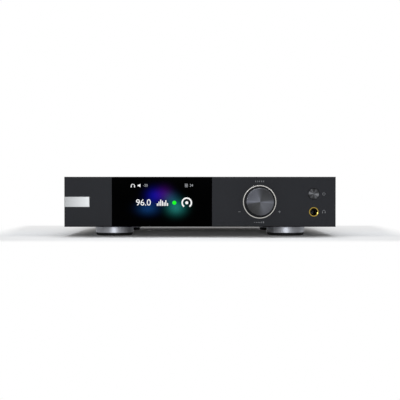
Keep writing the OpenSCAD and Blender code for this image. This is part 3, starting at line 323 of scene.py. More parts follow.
def turned(mesh, line, centre, axis, steps=144, closed=False):
    """Turns a line of radius and height points once round an axis through a centre."""
    centre = Vector(centre)
    axis = Vector(axis)
    dots = [mesh.verts.new(centre + Vector((r * mm, 0, 0)) + axis * (h * mm)) for r, h in line]
    pairs = list(zip(dots, dots[1:])) + ([(dots[-1], dots[0])] if closed else [])
    edges = [mesh.edges.new(pair) for pair in pairs]
    bmesh.ops.spin(mesh, geom=dots + edges, cent=centre, axis=axis, angle=2 * math.pi,
                   steps=steps, use_merge=True)
    bmesh.ops.remove_doubles(mesh, verts=mesh.verts, dist=1e-7)
    bmesh.ops.recalc_face_normals(mesh, faces=mesh.faces)


def break_edges(mesh, width, segments=2):
    """Rounds every edge that turns by more than 25 degrees."""
    sharp = [e for e in mesh.edges if e.is_manifold and e.calc_face_angle() > math.radians(25)]
    bmesh.ops.bevel(mesh, geom=sharp, offset=width * mm, offset_type="OFFSET", affect="EDGES",
                    segments=segments, profile=0.5, material=-1, clamp_overlap=True)


def middle(node):
    """The middle of a solid's box."""
    low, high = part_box(node)
    return (low + high) / 2


def fine_lines(place, scale):
    """Tool lines from 0 to 1 along one coordinate, with scale in lines a metre."""
    return place.make("ShaderNodeTexNoise", {"noise_dimensions": "1D"},
                      {"W": place, "Scale": scale, "Detail": 2}, "Fac")


satin_silver, spot = new_finish("satin_silver", Metallic=1.0, Anisotropic=0.8,
                                Anisotropic_Rotation=0.25)
lines = fine_lines(spot.along("Z"), 9000)
feed(satin_silver, Base_Color=tint(spot, shade(224, 226, 232), shade(238, 240, 247), lines),
     Roughness=0.52 + lines * 0.08, Normal=relief(lines, 4e-6))
corners = ("front_left", "front_right", "rear_left", "rear_right")
foot_low, foot_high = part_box("foot_front_right")
pads_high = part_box("foot_pads")[1]
foot_r = (foot_high.x - foot_low.x) / 2 / mm
foot_top = foot_high.z / mm
foot_break = 0.5
rim_z = foot_low.z / mm + 0.5
rim_break = 0.25
pad_r = (pads_high.x - middle("foot_front_right").x) / mm
pad_top = pads_high.z / mm
pad_gap = 0.05
screw_r = 2
head_r = 5
web_z = foot_top - 3
for corner in corners:
    axle = middle("foot_" + corner)
    mesh = bmesh.new()
    turned(mesh, [
        (screw_r, foot_top), (foot_r - foot_break, foot_top), (foot_r, foot_top - foot_break),
        (foot_r, rim_z + rim_break), (foot_r - rim_break, rim_z), (pad_r + pad_gap, rim_z),
        (pad_r + pad_gap, pad_top), (head_r, pad_top), (head_r, web_z), (screw_r, web_z)
    ], (axle.x, axle.y, 0), (0, 0, 1), 180, closed=True)
    break_edges(mesh, 0.12)
    foot = piece("turned_foot_" + corner, mesh, satin_silver)
    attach(foot, "chassis")
    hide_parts("foot_" + corner)

# Foot pads: moulded black rubber rings let into the feet, with a rounded lower edge,
# and the plated machine screws that hold the feet.


def clouded(name, dark, light, scale, rough, drift, detail=2.0, depth=None, **even):
    """A finish whose colour and gloss drift with one soft noise, and its height if it has depth."""
    finish, spot = new_finish(name, **even)
    cloud = grain(spot, scale, detail)
    feed(finish, Base_Color=tint(spot, dark, light, cloud), Roughness=rough + cloud * drift)
    if depth:
        feed(finish, Normal=relief(cloud, depth))
    return finish


rubber = clouded("pad_rubber", shade(14, 14, 14), shade(26, 26, 27), scale=2600, detail=3,
                 rough=0.72, drift=0.18, depth=30e-6, Specular_IOR_Level=0.3)
mesh = bmesh.new()
for corner in corners:
    axle = middle("foot_" + corner)
    turned(mesh, [
        (head_r, 0), (pad_r - 1.7, 0), (pad_r - 1, 0.2), (pad_r - 0.4, 0.7), (pad_r - 0.05, 1.5),
        (pad_r, pad_top - pad_gap), (head_r, pad_top - pad_gap)
    ], (axle.x, axle.y, 0), (0, 0, 1), closed=True)
pads = piece("rubber_pads", mesh, rubber)
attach(pads, "chassis")
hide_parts("foot_pads")

plated_steel = clouded("plated_steel", shade(156, 158, 161), shade(176, 178, 181), scale=420,
                       detail=3, rough=0.26, drift=0.14, Metallic=1.0)
dress(plated_steel, "foot_screws", "front_screws", "board_screws", "display_bracket",
      "encoder_body", "encoder_bush", "encoder_nut", "toroid_clamp")

# Boards: two glass-fibre circuit boards with green solder mask over etched tracks, on
# brass hexagonal standoffs, and a smaller one behind the controls.
track_pitch = 1.6 * mm
track_w = 0.6 * mm
solder_mask, spot = new_finish("solder_mask", Specular_IOR_Level=0.5)
patch = grain(spot, 70, 1)
lengthwise = ((spot.along("X") % track_pitch) < track_w) * (patch > 0.52)
crosswise = ((spot.along("Y") % track_pitch) < track_w) * (patch < 0.44)
tracks = (lengthwise + crosswise).maths("MINIMUM", 1)
joint = spot.make("ShaderNodeTexVoronoi", {}, {"Vector": spot, "Scale": 230}, "Distance") < 0.1
green = tint(spot, shade(20, 62, 42), shade(38, 96, 66), tracks * 0.8 + patch * 0.2)
feed(solder_mask, Base_Color=tint(spot, green, shade(188, 186, 176), joint),
     Roughness=0.34 + patch * 0.1, Metallic=joint * 0.9, Normal=relief(tracks, 35e-6))
dress(solder_mask, "main_board", "power_board", "front_board")

standoff_brass = clouded("standoff_brass", shade(170, 138, 72), shade(206, 174, 100), scale=500,
                         rough=0.3, drift=0.12, Metallic=1.0)
dress(standoff_brass, "board_standoffs")

# On the boards: a tinned shield can, sleeved capacitors with bare tops, pale sealed
# relays and a black anodised comb of a heatsink.
tinned_sheet, spot = new_finish("tinned_sheet", Metallic=1.0)
spangle = spot.make("ShaderNodeTexVoronoi", {}, {"Vector": spot, "Scale": 380}, "Color")
flake = spangle.along("X")
feed(tinned_sheet, Base_Color=tint(spot, shade(184, 186, 189), shade(198, 200, 203), flake),
     Roughness=0.28 + flake * 0.07)
dress(tinned_sheet, "dac_shield", "inlet_pins")


def sleeved(name, node, dark, light):
    """Printed sleeve with a bare pressed top, for the cans of one solid."""
    top = 0.7 * mm
    finish, spot = new_finish(name)
    bare = spot.along("Z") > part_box(node)[1].z - top
    cloud = grain(spot, 160)
    sleeve = tint(spot, dark, light, cloud)
    feed(finish, Base_Color=tint(spot, sleeve, shade(190, 192, 195), bare),
         Metallic=bare * 0.95, Roughness=0.36 + cloud * 0.1)
    dress(finish, node)


sleeved("audio_sleeve", "audio_capacitors", shade(44, 66, 96), shade(60, 88, 126))
sleeved("power_sleeve", "power_capacitors", shade(26, 27, 32), shade(40, 41, 48))

pale_plastic, spot = new_finish("pale_plastic", Specular_IOR_Level=0.4)
speck = grain(spot, 3000)
cloud = grain(spot, 120)
feed(pale_plastic, Base_Color=tint(spot, shade(212, 208, 198), shade(230, 227, 219), cloud),
     Roughness=0.42 + speck * 0.12, Normal=relief(speck, 12e-6))
dress(pale_plastic, "output_relays", "encoder_rotor", "encoder_plunger", "power_switch_plunger")

sink_black, spot = new_finish("sink_black", Metallic=0.7)
lines = grain(spot.mapped(Scale=(2400, 30, 2400)), 1)
feed(sink_black, Base_Color=tint(spot, shade(30, 31, 33), shade(48, 49, 52), lines),
     Roughness=0.38 + lines * 0.14, Normal=relief(lines, 6e-6))
dress(sink_black, "regulator_heatsink")

# Transformer: a ring winding lapped with amber tape, between two rubber rings and
# under a dished steel washer, with one bolt through its middle.
laps = 60
core = middle("toroid_winding")
amber_tape, spot = new_finish("amber_tape", Specular_IOR_Level=0.5)
from_core = spot.mapped(Location=(-core.x, -core.y, 0))
turn = from_core.along("Y").maths("ARCTAN2", from_core.along("X"))
lap = (turn * (laps / (2 * math.pi)) + grain(spot, 30) * 0.5) % 1.0
feed(amber_tape, Base_Color=tint(spot, shade(150, 88, 38), shade(196, 130, 62), lap),
     Roughness=0.3 + lap * 0.12, Normal=relief(lap, 120e-6))
dress(amber_tape, "toroid_winding")
dress(rubber, "toroid_pads")

# Wiring: stranded leads in brown insulation between inlet, switch, boards and
# transformer, and a grey flat cable from the front board to the main board.
lead_cover = clouded("lead_cover", shade(104, 40, 38), shade(132, 54, 50), scale=600,
                     rough=0.4, drift=0.1, Specular_IOR_Level=0.4)
dress(lead_cover, "internal_wires")

wire_pitch = 1.27 * mm
flat_cable, spot = new_finish("flat_cable", Specular_IOR_Level=0.4)
wave = (spot.along("X") * (2 * math.pi / wire_pitch)).maths("SINE") * 0.5 + 0.5
feed(flat_cable, Base_Color=tint(spot, shade(120, 122, 127), shade(158, 160, 164), wave),
     Roughness=0.45 + grain(spot, 900) * 0.1, Normal=relief(wave, 90e-6))
dress(flat_cable, "ribbon_cable")

# Mains inlet and rocker switch: moulded black thermoplastic in the rear panel, with
# tinned blades, and a rocker that carries the two usual signs for on and off.
black_plastic = clouded("black_plastic", shade(22, 22, 24), shade(34, 34, 36), scale=2800,
                        detail=3, rough=0.44, drift=0.16, depth=16e-6, Specular_IOR_Level=0.4)
dress(black_plastic, "inlet_socket", "rocker_frame", "power_rocker", "optical_socket",
      "optical_shutter", "headphone_jack", "power_switch", "display_module")


def bar(mesh, x, y, z, width, thick, height):
    """A small flat block with its middle at a place, in millimetres."""
    place = Matrix.Translation((x * mm, y * mm, z * mm))
    size = Matrix.Diagonal((width * mm, thick * mm, height * mm, 1))
    bmesh.ops.create_cube(mesh, size=1, matrix=place @ size)


def arc(mesh, x, y, z, inner, outer, start, sweep, thick):
    """A thin band round a place, from a start angle over a sweep in degrees."""
    centre = Vector((x * mm, y * mm, z * mm))
    place = Matrix.Translation(centre) @ Matrix.Rotation(math.radians(-start), 4, "Y")
    shift = Matrix.Translation(((inner + outer) / 2 * mm, 0, 0))
    size = Matrix.Diagonal(((outer - inner) * mm, thick * mm, 1, 1))
    dots = bmesh.ops.create_grid(mesh, x_segments=1, y_segments=1, size=0.5,
                                 matrix=place @ shift @ size)["verts"]
    faces = list({f for v in dots for f in v.link_faces})
    edges = list({e for v in dots for e in v.link_edges})
    whole = abs(sweep) >= 360
    if whole:
        bmesh.ops.delete(mesh, geom=faces, context="FACES_ONLY")
        faces = []
    bmesh.ops.spin(mesh, geom=dots + edges + faces, cent=centre, axis=(0, -1, 0),
                   angle=math.radians(sweep), steps=max(6, int(abs(sweep) / 6)), use_merge=whole)
    bmesh.ops.remove_doubles(mesh, verts=mesh.verts, dist=1e-7)
    bmesh.ops.recalc_face_normals(mesh, faces=mesh.faces)


printed_white = clouded("printed_white", shade(196, 196, 196), shade(222, 222, 222), scale=5200,
                        rough=0.5, drift=0.2, Specular_IOR_Level=0.2)
hinge = next(joint for joint in frame["joints"] if joint["name"] == "rocker_tilt")
rest_tilt = 9
half_length = 8.6
half_rise = 1.8
sign_out = 3.17
sign_up = 4.5
sign_thick = 0.06


def on_rocker(mesh, half):
    """Lays a flat sign on the upper half of the rocker's face, 1, or on the lower one, -1."""
    slope = math.atan2(half_rise, half_length)
    place = Matrix.Translation(hinge["pos_m"]) @ Matrix.Rotation(math.radians(rest_tilt), 4, "X")
    place = place @ Matrix.Translation((0, sign_out * mm, half * sign_up * mm))
    bmesh.ops.transform(mesh, matrix=place @ Matrix.Rotation(-half * slope, 4, "X"),
                        verts=mesh.verts)


mesh = bmesh.new()
bar(mesh, 0, 0, 0, 0.7, sign_thick, 3.4)
on_rocker(mesh, 1)
on_sign = piece("on_sign", mesh, printed_white)
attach(on_sign, "rocker")
mesh = bmesh.new()
arc(mesh, 0, 0, 0, 1.15, 1.75, 0, 360, sign_thick)
on_rocker(mesh, -1)
off_sign = piece("off_sign", mesh, printed_white)
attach(off_sign, "rocker")

# Balanced outputs: two flanged die-cast shells, painted black, each with a round cup,
# an insulating floor and three plated pins, held by two screws in the rear panel.
cast_black = clouded("cast_black", shade(38, 39, 42), shade(54, 55, 59), scale=1500, detail=3,
                     rough=0.36, drift=0.18, depth=22e-6, Specular_IOR_Level=0.45)
dress(cast_black, "xlr_left", "xlr_right")

black_screw = clouded("black_screw", shade(38, 38, 40), shade(62, 62, 65), scale=700,
                      rough=0.34, drift=0.14, Metallic=0.8)
dress(black_screw, "rear_screws", "cover_screws")

# Phono sockets: turned and gold-plated barrels, each with a hexagonal flange against
# the rear panel and a grooved mouth, round a moulded core in its channel's colour.
barrel_r = 4.15
barrel_bore = 3.3
groove_r = 3.95
flange_across = 12
flange_hole = 4.17
flange_thick = 1.5
flange_y = 2


def hex_flange(mesh, centre):
    """A hexagonal plate with a round hole, in an empty mesh, that faces the rear."""
    corner_r = flange_across / 2 / math.cos(math.radians(30))
    bmesh.ops.create_circle(mesh, segments=6, radius=corner_r * mm,
                            matrix=Matrix.Rotation(math.radians(30), 4, "Z"))
    bmesh.ops.subdivide_edges(mesh, edges=list(mesh.edges), cuts=7)
    bmesh.ops.create_circle(mesh, segments=48, radius=flange_hole * mm)
    bmesh.ops.bridge_loops(mesh, edges=list(mesh.edges))
    wall = bmesh.ops.extrude_face_region(mesh, geom=list(mesh.faces))
    lifted = [g for g in wall["geom"] if isinstance(g, bmesh.types.BMVert)]
    bmesh.ops.translate(mesh, verts=lifted, vec=(0, 0, flange_thick * mm))
    to_rear = Matrix.Rotation(math.radians(-90), 4, "X")
    bmesh.ops.transform(mesh, verts=mesh.verts, matrix=Matrix.Translation(centre) @ to_rear)


gold_plate = clouded("gold_plate", shade(146, 120, 52), shade(168, 140, 68), scale=380, detail=3,
                     rough=0.2, drift=0.1, Metallic=1.0)
phono_sockets = ("rca_left", "rca_right", "coax_input")
for node in phono_sockets:
    low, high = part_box(node)
    hub = middle(node)
    depth = (high.y - low.y) / mm
    mesh = bmesh.new()
    hex_flange(mesh, (hub.x, low.y + flange_y * mm, hub.z))
    turned(mesh, [
        (barrel_bore, 0), (barrel_r, 0), (barrel_r, depth - 3.4), (groove_r, depth - 3.2),
        (groove_r, depth - 2.7), (barrel_r, depth - 2.5), (barrel_r, depth - 0.5), (3.9, depth),
        (3.5, depth), (barrel_bore, depth - 0.2)
    ], (hub.x, low.y, hub.z), (0, 1, 0), 96, closed=True)
    barrel = piece(node + "_barrel", mesh, gold_plate)
    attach(barrel, "chassis")
    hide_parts(node)
dress(gold_plate, "xlr_pins")

core_plastic, spot = new_finish("core_plastic", Specular_IOR_Level=0.4)
east = spot.along("X")
left_x, right_x, digital_x = (middle(node).x for node in phono_sockets)
channel = tint(spot, shade(216, 118, 36), shade(178, 38, 36), east > (right_x + digital_x) / 2)
channel = tint(spot, channel, shade(226, 224, 218), east > (left_x + right_x) / 2)
speck = grain(spot, 2600)
feed(core_plastic, Base_Color=tint(spot, channel, shade(120, 110, 104), speck * 0.16),
     Roughness=0.38 + speck * 0.14)
dress(core_plastic, "rca_insulators")

# Data sockets: a folded tinned shell round a black contact tongue with four plated
# contacts, and a moulded optical socket with a sprung flap.
tongue_half_w = 3.2 * mm
tongue_half_h = 1.9 * mm
tongue_reach = 9.4 * mm
shell_hub = middle("usb_socket")
mouth_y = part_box("usb_socket")[1].y
data_shell, spot = new_finish("data_shell")
from_mouth = spot.mapped(Location=(-shell_hub.x, -mouth_y, -shell_hub.z))
tongue = (abs(from_mouth.along("X")) < tongue_half_w) * (abs(from_mouth.along("Z")) < tongue_half_h)
tongue = tongue * (from_mouth.along("Y") > -tongue_reach)
cloud = grain(spot, 380)
tinned = tint(spot, shade(178, 180, 184), shade(206, 208, 211), cloud)
feed(data_shell, Base_Color=tint(spot, tinned, shade(24, 24, 26), tongue),
     Metallic=1 - tongue, Roughness=0.25 + cloud * 0.12 + tongue * 0.2)
dress(data_shell, "usb_socket")
mesh = bmesh.new()
for side in (-1, 1):
    for row in (-1, 1):
        bar(mesh, shell_hub.x / mm + side * 1.3, mouth_y / mm - 4.6, shell_hub.z / mm + row * 1.63,
            1, 5.6, 0.08)
contacts = piece("data_contacts", mesh, gold_plate)
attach(contacts, "chassis")

# Marks on the rear panel: screen-printed brackets over each group of sockets, and
# plain numbers over the three phono sockets.


def figures(mesh, text, height, turn, thick=0.05):
    """Plain numbers as thin solids, their middle at the origin of a turn matrix."""
    figure_share = 0.7
    words = bpy.data.curves.new("figures", "FONT")
    words.body = text
    words.size = height / figure_share * mm
    words.extrude = thick / 2 * mm
    words.align_x = "CENTER"
    words.align_y = "CENTER"
    line = bpy.data.objects.new("figures", words)
    bpy.context.scene.collection.objects.link(line)
    ready = line.evaluated_get(bpy.context.evaluated_depsgraph_get())
    solid = bpy.data.meshes.new_from_object(ready)
    bpy.data.objects.remove(line)
    bpy.data.curves.remove(words)
    solid.transform(turn)
    mesh.from_mesh(solid)
    bpy.data.meshes.remove(solid)


def facing_front(x, y, z):
    """A turn matrix that stands flat figures up at a place, to be read from the front."""
    return Matrix.Translation((x * mm, y * mm, z * mm)) @ Matrix.Rotation(math.radians(90), 4, "X")


def facing_rear(x, y, z):
    """The same for figures that are read from behind."""
    return Matrix.Rotation(math.radians(180), 4, "Z") @ facing_front(-x, -y, z)


print_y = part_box("rear_panel")[1].y / mm + 0.03
print_thick = 0.05
line_w = 0.35
tick = 1.4
number_z = 40
mesh = bmesh.new()
for number, node in enumerate(phono_sockets, 1):
    figures(mesh, str(number), 2.6, facing_rear(middle(node).x / mm, print_y, number_z))
for outer, inner, line_z in (("xlr_left", "xlr_right", 52.6), ("rca_left", "coax_input", 44.6),
                             ("optical_socket", "usb_socket", 44.6)):
    right_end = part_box(outer)[1].x / mm
    left_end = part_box(inner)[0].x / mm
    bar(mesh, (right_end + left_end) / 2, print_y, line_z, right_end - left_end, print_thick, line_w)
    for end in (right_end, left_end):
        bar(mesh, end, print_y, line_z - tick / 2, line_w, print_thick, tick)
rear_marks = piece("rear_marks", mesh, printed_white)
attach(rear_marks, "chassis")

# Front panel: a milled aluminium slab, bead blasted and anodised dark grey, with its
# front edges chamfered and painted darker as painted shade, and a lip behind that the case sheets
# slide over.
panel_chamfer = 0.8 * mm
panel_low, panel_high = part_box("front_panel")
panel_mid = (panel_low.z + panel_high.z) / 2
blasted_panel, spot = new_finish("blasted_panel", Specular_IOR_Level=0.1)
beads = grain(spot, 3600, 3)
cloud = grain(spot, 14)
from_mid = spot.mapped(Location=(0, 0, -panel_mid))
past_x = abs(from_mid.along("X")) - (panel_high.x - panel_chamfer)
past_z = abs(from_mid.along("Z")) - (panel_high.z - panel_mid - panel_chamfer)
# Painted shade: the chamfer band round the front edges is painted darker than the face.
edge = (past_x.larger(past_z) > 0) * (0.6 + grain(spot, 300, 3) * 0.4)
anodised = tint(spot, shade(38, 39, 42), shade(46, 47, 51), beads * 0.7 + cloud * 0.3)
feed(blasted_panel, Base_Color=tint(spot, anodised, shade(16, 16, 18), edge),
     Roughness=0.48 + beads * 0.14, Normal=relief(beads, 18e-6))
dress(blasted_panel, "front_panel")

# Display: a full-height pane of black glass let into the panel, over a colour screen
# that glows through it and shows plain signs, bars and numbers.
dot_pitch = 0.16 * mm


def dot_grid(spot, width):
    """One on the screen's square dots, and nought between them."""
    return ((spot.along("X") % dot_pitch) < width) * ((spot.along("Z") % dot_pitch) < width)


black_glass, spot = new_finish("black_glass", Specular_IOR_Level=0.003, Emission_Strength=1.0)
east = spot.along("X")
high_up = spot.along("Z")
lit = (0, 0, 0)
for x, z, wide, tall, colour in (
        (-24, 29, 8, 6.5, shade(30, 108, 102)), (-29, 38, 6.5, 5.5, shade(16, 52, 74)),
        (-45, 40.5, 7.5, 6.5, shade(8, 12, 132)), (-36, 42.5, 7, 6.5, shade(50, 4, 80)),
        (-52, 28, 9, 5.5, shade(12, 46, 90))):
    off_x = (east - x * mm) / (wide * mm)
    off_z = (high_up - z * mm) / (tall * mm)
    strength = ((off_x * off_x + off_z * off_z) * -1).maths("EXPONENT")
    glow = spot.make("ShaderNodeVectorMath", {"operation": "SCALE"},
                     {0: colour[:3], "Scale": strength})
    lit = spot.make("ShaderNodeVectorMath", {"operation": "ADD"}, {0: lit, 1: glow})
lit = spot.make("ShaderNodeVectorMath", {"operation": "SCALE"},
                {0: lit, "Scale": dot_grid(spot, 0.13 * mm) * 0.5 + 0.7})
smudge = grain(spot, 60, 3)
feed(black_glass, Base_Color=tint(spot, shade(0.5, 0.5, 0.5), shade(2, 2, 2.5), smudge),
     Emission_Color=lit, Roughness=0.05 + smudge * 0.04)
dress(black_glass, "display_window")


def lit_finish(name, colour):
    """Screen light drawn in fine square dots."""
    finish, spot = new_finish(name, Base_Color=(0, 0, 0, 1), Emission_Strength=1.0, Roughness=0.3,
                              Specular_IOR_Level=0.05)
    between = [v * 0.82 for v in colour[:3]] + [1]
    feed(finish, Emission_Color=tint(spot, between, colour, dot_grid(spot, 0.135 * mm)))
    return finish


def disc(mesh, x, y, z, radius, thick, sides=48, roll=0):
    """A thin disc that faces front, in millimetres; three sides make a wedge."""
    place = Matrix.Translation((x * mm, y * mm, z * mm))
    upright = Matrix.Rotation(math.radians(90), 4, "X") @ Matrix.Rotation(math.radians(roll), 4, "Z")
    bmesh.ops.create_cone(mesh, cap_ends=True, segments=sides, radius1=radius * mm,
                          radius2=radius * mm, depth=thick * mm, matrix=place @ upright)


lit_white = lit_finish("lit_white", (1, 1, 1, 1))
lit_grey = lit_finish("lit_grey", shade(176, 178, 182))
lit_green = lit_finish("lit_green", shade(0, 255, 20))
screen_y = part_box("display_window")[0].y / mm - 0.04
thin = 0.05
main_z = 33.6
top_z = 50.8
bars_x = -42.6
bars_z = 30.5
dial_x = -13.2
phones_x = -67.0
speaker_x = -61.6

mesh = bmesh.new()
figures(mesh, "96.0", 6.2, facing_front(-56.5, screen_y, main_z))
for step, tall in enumerate((2.4, 4.2, 6.2, 5.0, 3.4, 5.6, 2.8)):
    bar(mesh, bars_x + step * 1.7, screen_y, bars_z + tall / 2, 1.0, thin, tall)
arc(mesh, dial_x, screen_y, main_z, 3.9, 5.3, 235, -290, thin)
disc(mesh, dial_x, screen_y, main_z, 1.5, thin)
arc(mesh, phones_x, screen_y, top_z - 0.4, 1.5, 2.0, 0, 180, thin)
for side in (-1, 1):
    bar(mesh, phones_x + side * 1.65, screen_y, top_z - 0.9, 0.9, thin, 1.8)
bar(mesh, speaker_x, screen_y, top_z, 1.2, thin, 1.3)
disc(mesh, speaker_x + 1.2, screen_y, top_z, 1.9, thin, 3, 90)
signs = piece("lit_signs", mesh, lit_white)
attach(signs, "chassis")

mesh = bmesh.new()
figures(mesh, "-20", 2.4, facing_front(-54.4, screen_y, top_z))
figures(mesh, "24", 2.4, facing_front(-8.6, screen_y, top_z))
for row in (-1, 0, 1):
    bar(mesh, -13.6, screen_y, top_z + row * 1.3, 3.0, thin, 0.5)
notes = piece("lit_notes", mesh, lit_grey)
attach(notes, "chassis")

mesh = bmesh.new()
disc(mesh, -25.6, screen_y, main_z, 2.0, thin)
lamp = piece("lit_lamp", mesh, lit_green)
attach(lamp, "chassis")

# Badge: a plain folded plate of brushed aluminium let flush into the panel, wrapped
# round its left edge and left bare.
plate_low, plate_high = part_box("badge_plate")
brushed_plate, spot = new_finish("brushed_plate", Metallic=0.45, Specular_IOR_Level=0.5)
lines = grain(spot.mapped(Scale=(60, 4200, 4200)), 1, 3)
# Painted sheen: the plate's colour is painted lighter from its left end to its right, as a painted
# reflection on it.
painted_sheen_share = (spot.along("X") - plate_low.x) / (plate_high.x - plate_low.x)
brushed_tone_and_painted_sheen = tint(spot, shade(148, 149, 149), shade(204, 205, 205), painted_sheen_share * 0.8 + lines * 0.2)
feed(brushed_plate, Base_Color=brushed_tone_and_painted_sheen, Roughness=0.36 + lines * 0.16, Normal=relief(lines, 5e-6))
dress(brushed_plate, "badge_plate")

# Knob: a turned and anodised cap with a spun face, its fan of highlights and shade painted
# into its colour, on a flatted shaft; a polished trim ring stands in the panel's recess round it.


def spun_face(name, hub, stops, dark, light, **even):
    """Bare metal spun about an axis that runs front to rear, with a fan of highlights and shade
    painted into its colour by angle.
    """
    finish, spot = new_finish(name, **even)
    from_hub = spot.mapped(Location=(-hub.x, 0, -hub.z))
    east = from_hub.along("X")
    high_up = from_hub.along("Z")
    share = ((math.pi - high_up.maths("ARCTAN2", east)) / (2 * math.pi)) % 1.0
    fan = share.make("ShaderNodeValToRGB", {"stops": stops}, {"Fac": share}, "Color").along("X")
    lines = fine_lines((east * east + high_up * high_up) ** 0.5, 5200)
    feed(finish, Base_Color=tint(spot, dark, light, fan * 0.9 + lines * 0.1),
         Roughness=0.36 + lines * 0.12, Normal=relief(lines, 5e-6))
    return finish


knob_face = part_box("knob_body")[0].y
knob_hub = middle("knob_body")
# The fan's stops and its light and dark colours paint highlights and shade on the spun face.
knob_painted_highlights = [
    (0, 1.0), (0.015, 0.92), (0.03, 0.64), (0.1, 0.59), (0.19, 0.69), (0.225, 0.46),
    (0.265, 0.17), (0.3, 0.06), (0.4, 0.06), (0.465, 0.1), (0.487, 0.38), (0.5, 0.62),
    (0.515, 0.56), (0.53, 0.33), (0.6, 0.29), (0.69, 0.34), (0.725, 0.22), (0.765, 0.07),
    (0.8, 0), (0.9, 0), (0.965, 0.08), (0.987, 0.5), (1.0, 1.0)
]
spun_knob_painted_fan = spun_face("spun_knob_painted_fan", knob_hub, knob_painted_highlights, shade(27, 27, 26), shade(106, 108, 117),
                      Metallic=0.35, Specular_IOR_Level=0.3)
knob_r = 13.7
knob_rear = 12.5
skirt_r = 11.2
crown = 5
stub_r = 5.5
stub_rear = 9
shaft_r = 3.05
shaft_end = 1.6
mesh = bmesh.new()
turned(mesh, [
    (0, 0.14), (knob_r - 1.2, 0.12), (knob_r - 0.95, 0.02), (knob_r - 0.6, 0.02), (knob_r, 0.6),
    (knob_r, knob_rear), (skirt_r, knob_rear), (skirt_r, crown), (stub_r, crown),
    (stub_r, stub_rear), (shaft_r, stub_rear), (shaft_r, shaft_end), (0, shaft_end)
], (knob_hub.x, knob_face, knob_hub.z), (0, 1, 0), 180)
break_edges(mesh, 0.1)
knob = piece("spun_knob_painted_fan", mesh, spun_knob_painted_fan)
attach(knob, "knob")
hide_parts("knob_body")

polished_ring = clouded("polished_ring", shade(178, 176, 172), shade(194, 192, 188), scale=260,
                        rough=0.045, drift=0.02, Metallic=1.0)
ring_low, ring_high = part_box("knob_ring")
ring_hub = middle("knob_ring")
ring_r = (ring_high.x - ring_low.x) / 2 / mm
bore_r = ring_r - 1.2
ring_rear = 2.5
mesh = bmesh.new()
turned(mesh, [
    (bore_r, ring_rear), (bore_r, 1), (bore_r + 0.3, 0.08), (bore_r + 0.36, 0),
    (ring_r - 0.06, 0), (ring_r - 0.01, 0.04), (ring_r, 0.12), (ring_r, ring_rear)
], (ring_hub.x, ring_low.y, ring_hub.z), (0, 1, 0), 180, closed=True)
trim_ring = piece("polished_trim_ring", mesh, polished_ring)
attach(trim_ring, "chassis")
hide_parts("knob_ring")

shaft_steel = clouded("shaft_steel", shade(180, 181, 184), shade(208, 209, 211), scale=900,
                      rough=0.24, drift=0.1, Metallic=1.0)
dress(shaft_steel, "encoder_shaft")

# Power button: a small dished aluminium cap with a spun face, anodised with the
# panel, that slides in its hole on the plunger of a switch.
button_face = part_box("power_button")[0].y
button_hub = middle("power_button")
# The fan's stops and its light and dark colours paint highlights and shade on the button's spun face.
button_painted_highlights = [
    (0, 0.8), (0.03, 1.0), (0.07, 0.7), (0.11, 0.12), (0.15, 0.5), (0.175, 0.55), (0.21, 0.1),
    (0.28, 0.02), (0.32, 0.3), (0.345, 0.34), (0.39, 0.08), (0.46, 0.1), (0.5, 0.6),
    (0.54, 0.9), (0.575, 0.6), (0.61, 0.1), (0.65, 0.34), (0.68, 0.38), (0.72, 0.08),
    (0.79, 0.04), (0.83, 0.28), (0.86, 0.32), (0.9, 0.06), (0.96, 0.14), (1.0, 0.8)
]
spun_button_painted_fan = spun_face("spun_button_painted_fan", button_hub, button_painted_highlights, shade(10, 10, 11),
                        shade(124, 125, 128), Metallic=0.25, Specular_IOR_Level=0.15)
button_r = 5.3
collar_r = 6.6
collar_front = 4.75
collar_rear = 5.55
stem_r = 1.75
stem_end = 7.15
mesh = bmesh.new()
turned(mesh, [
    (0, 0.3), (button_r - 0.7, 0.06), (button_r - 0.5, 0), (button_r - 0.2, 0.12),
    (button_r, 0.45), (button_r, collar_front), (collar_r, collar_front), (collar_r, collar_rear),
    (stem_r, collar_rear), (stem_r, stem_end), (0, stem_end)
], (button_hub.x, button_face, button_hub.z), (0, 1, 0), 120)
break_edges(mesh, 0.06)
button = piece("spun_button_painted_fan", mesh, spun_button_painted_fan)
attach(button, "power_button")
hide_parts("power_button")

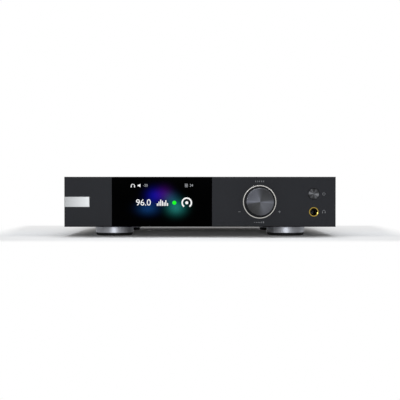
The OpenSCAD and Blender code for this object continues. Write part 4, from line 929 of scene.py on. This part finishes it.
# Headphone socket: a gold-plated turned bush with a dished mouth and a flange on the
# panel, screwed into a moulded jack on the front board.
bush_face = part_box("headphone_ring")[0].y
bush_hub = middle("headphone_ring")
bush_gold = clouded("bush_gold", shade(158, 136, 64), shade(174, 148, 72), scale=380, detail=3,
                    rough=0.1, drift=0.05, Metallic=1.0)
bush_bore = 3.2
bush_r = 4.4
bush_end = 12
brim_r = 4.72
brim_rear = 0.8
mesh = bmesh.new()
turned(mesh, [
    (bush_bore, 2.6), (3.6, 0.7), (3.68, 0.34), (3.82, 0.13), (4.44, 0.03), (4.56, 0),
    (brim_r - 0.05, 0.06), (brim_r, 0.2), (brim_r, brim_rear), (bush_r, brim_rear),
    (bush_r, bush_end), (bush_bore, bush_end)
], (bush_hub.x, bush_face, bush_hub.z), (0, 1, 0), 120, closed=True)
bush = piece("gold_bush", mesh, bush_gold)
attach(bush, "chassis")
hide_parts("headphone_ring")

# Marks on the front panel: fine grey screen print, as plain signs beside the knob,
# the button and the headphone socket.
printed_grey = clouded("printed_grey", shade(116, 117, 119), shade(140, 141, 143), scale=5200,
                       rough=0.55, drift=0.2, Specular_IOR_Level=0.2)
ink_y = panel_low.y / mm - 0.02
ink = 0.04
knob_x = knob_hub.x / mm
knob_z = knob_hub.z / mm
less_x = knob_x - 20.2
more_x = knob_x + 19.8
less_z = knob_z - 9.9
sign_x = button_hub.x / mm + 10.1
button_z = button_hub.z / mm
bush_z = bush_hub.z / mm
mesh = bmesh.new()
for step in range(5):
    bar(mesh, knob_x - 4 + step * 2, ink_y, knob_z + 20.4, 0.9, ink, 1.5)
    bar(mesh, knob_x - 5 + step * 2.2, ink_y, knob_z - 20.5, 1.2, ink, 0.5 + step * 0.28)
for x in (less_x, more_x):
    bar(mesh, x, ink_y, less_z, 2.4, ink, 0.5)
for side in (-1, 1):
    bar(mesh, more_x, ink_y, less_z + side * 0.725, 0.5, ink, 0.95)
    bar(mesh, sign_x + side * 1.3, ink_y, bush_z - 0.5, 0.8, ink, 1.8)
arc(mesh, sign_x, ink_y, bush_z + 0.2, 1.2, 1.6, 0, 180, ink)
arc(mesh, sign_x, ink_y, button_z - 0.1, 1.1, 1.5, 125, 290, ink)
bar(mesh, sign_x, ink_y, button_z + 1.0, 0.4, ink, 1.5)
marks = piece("panel_marks", mesh, printed_grey)
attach(marks, "chassis")

# Sizes: the finished object's box.
low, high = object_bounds()
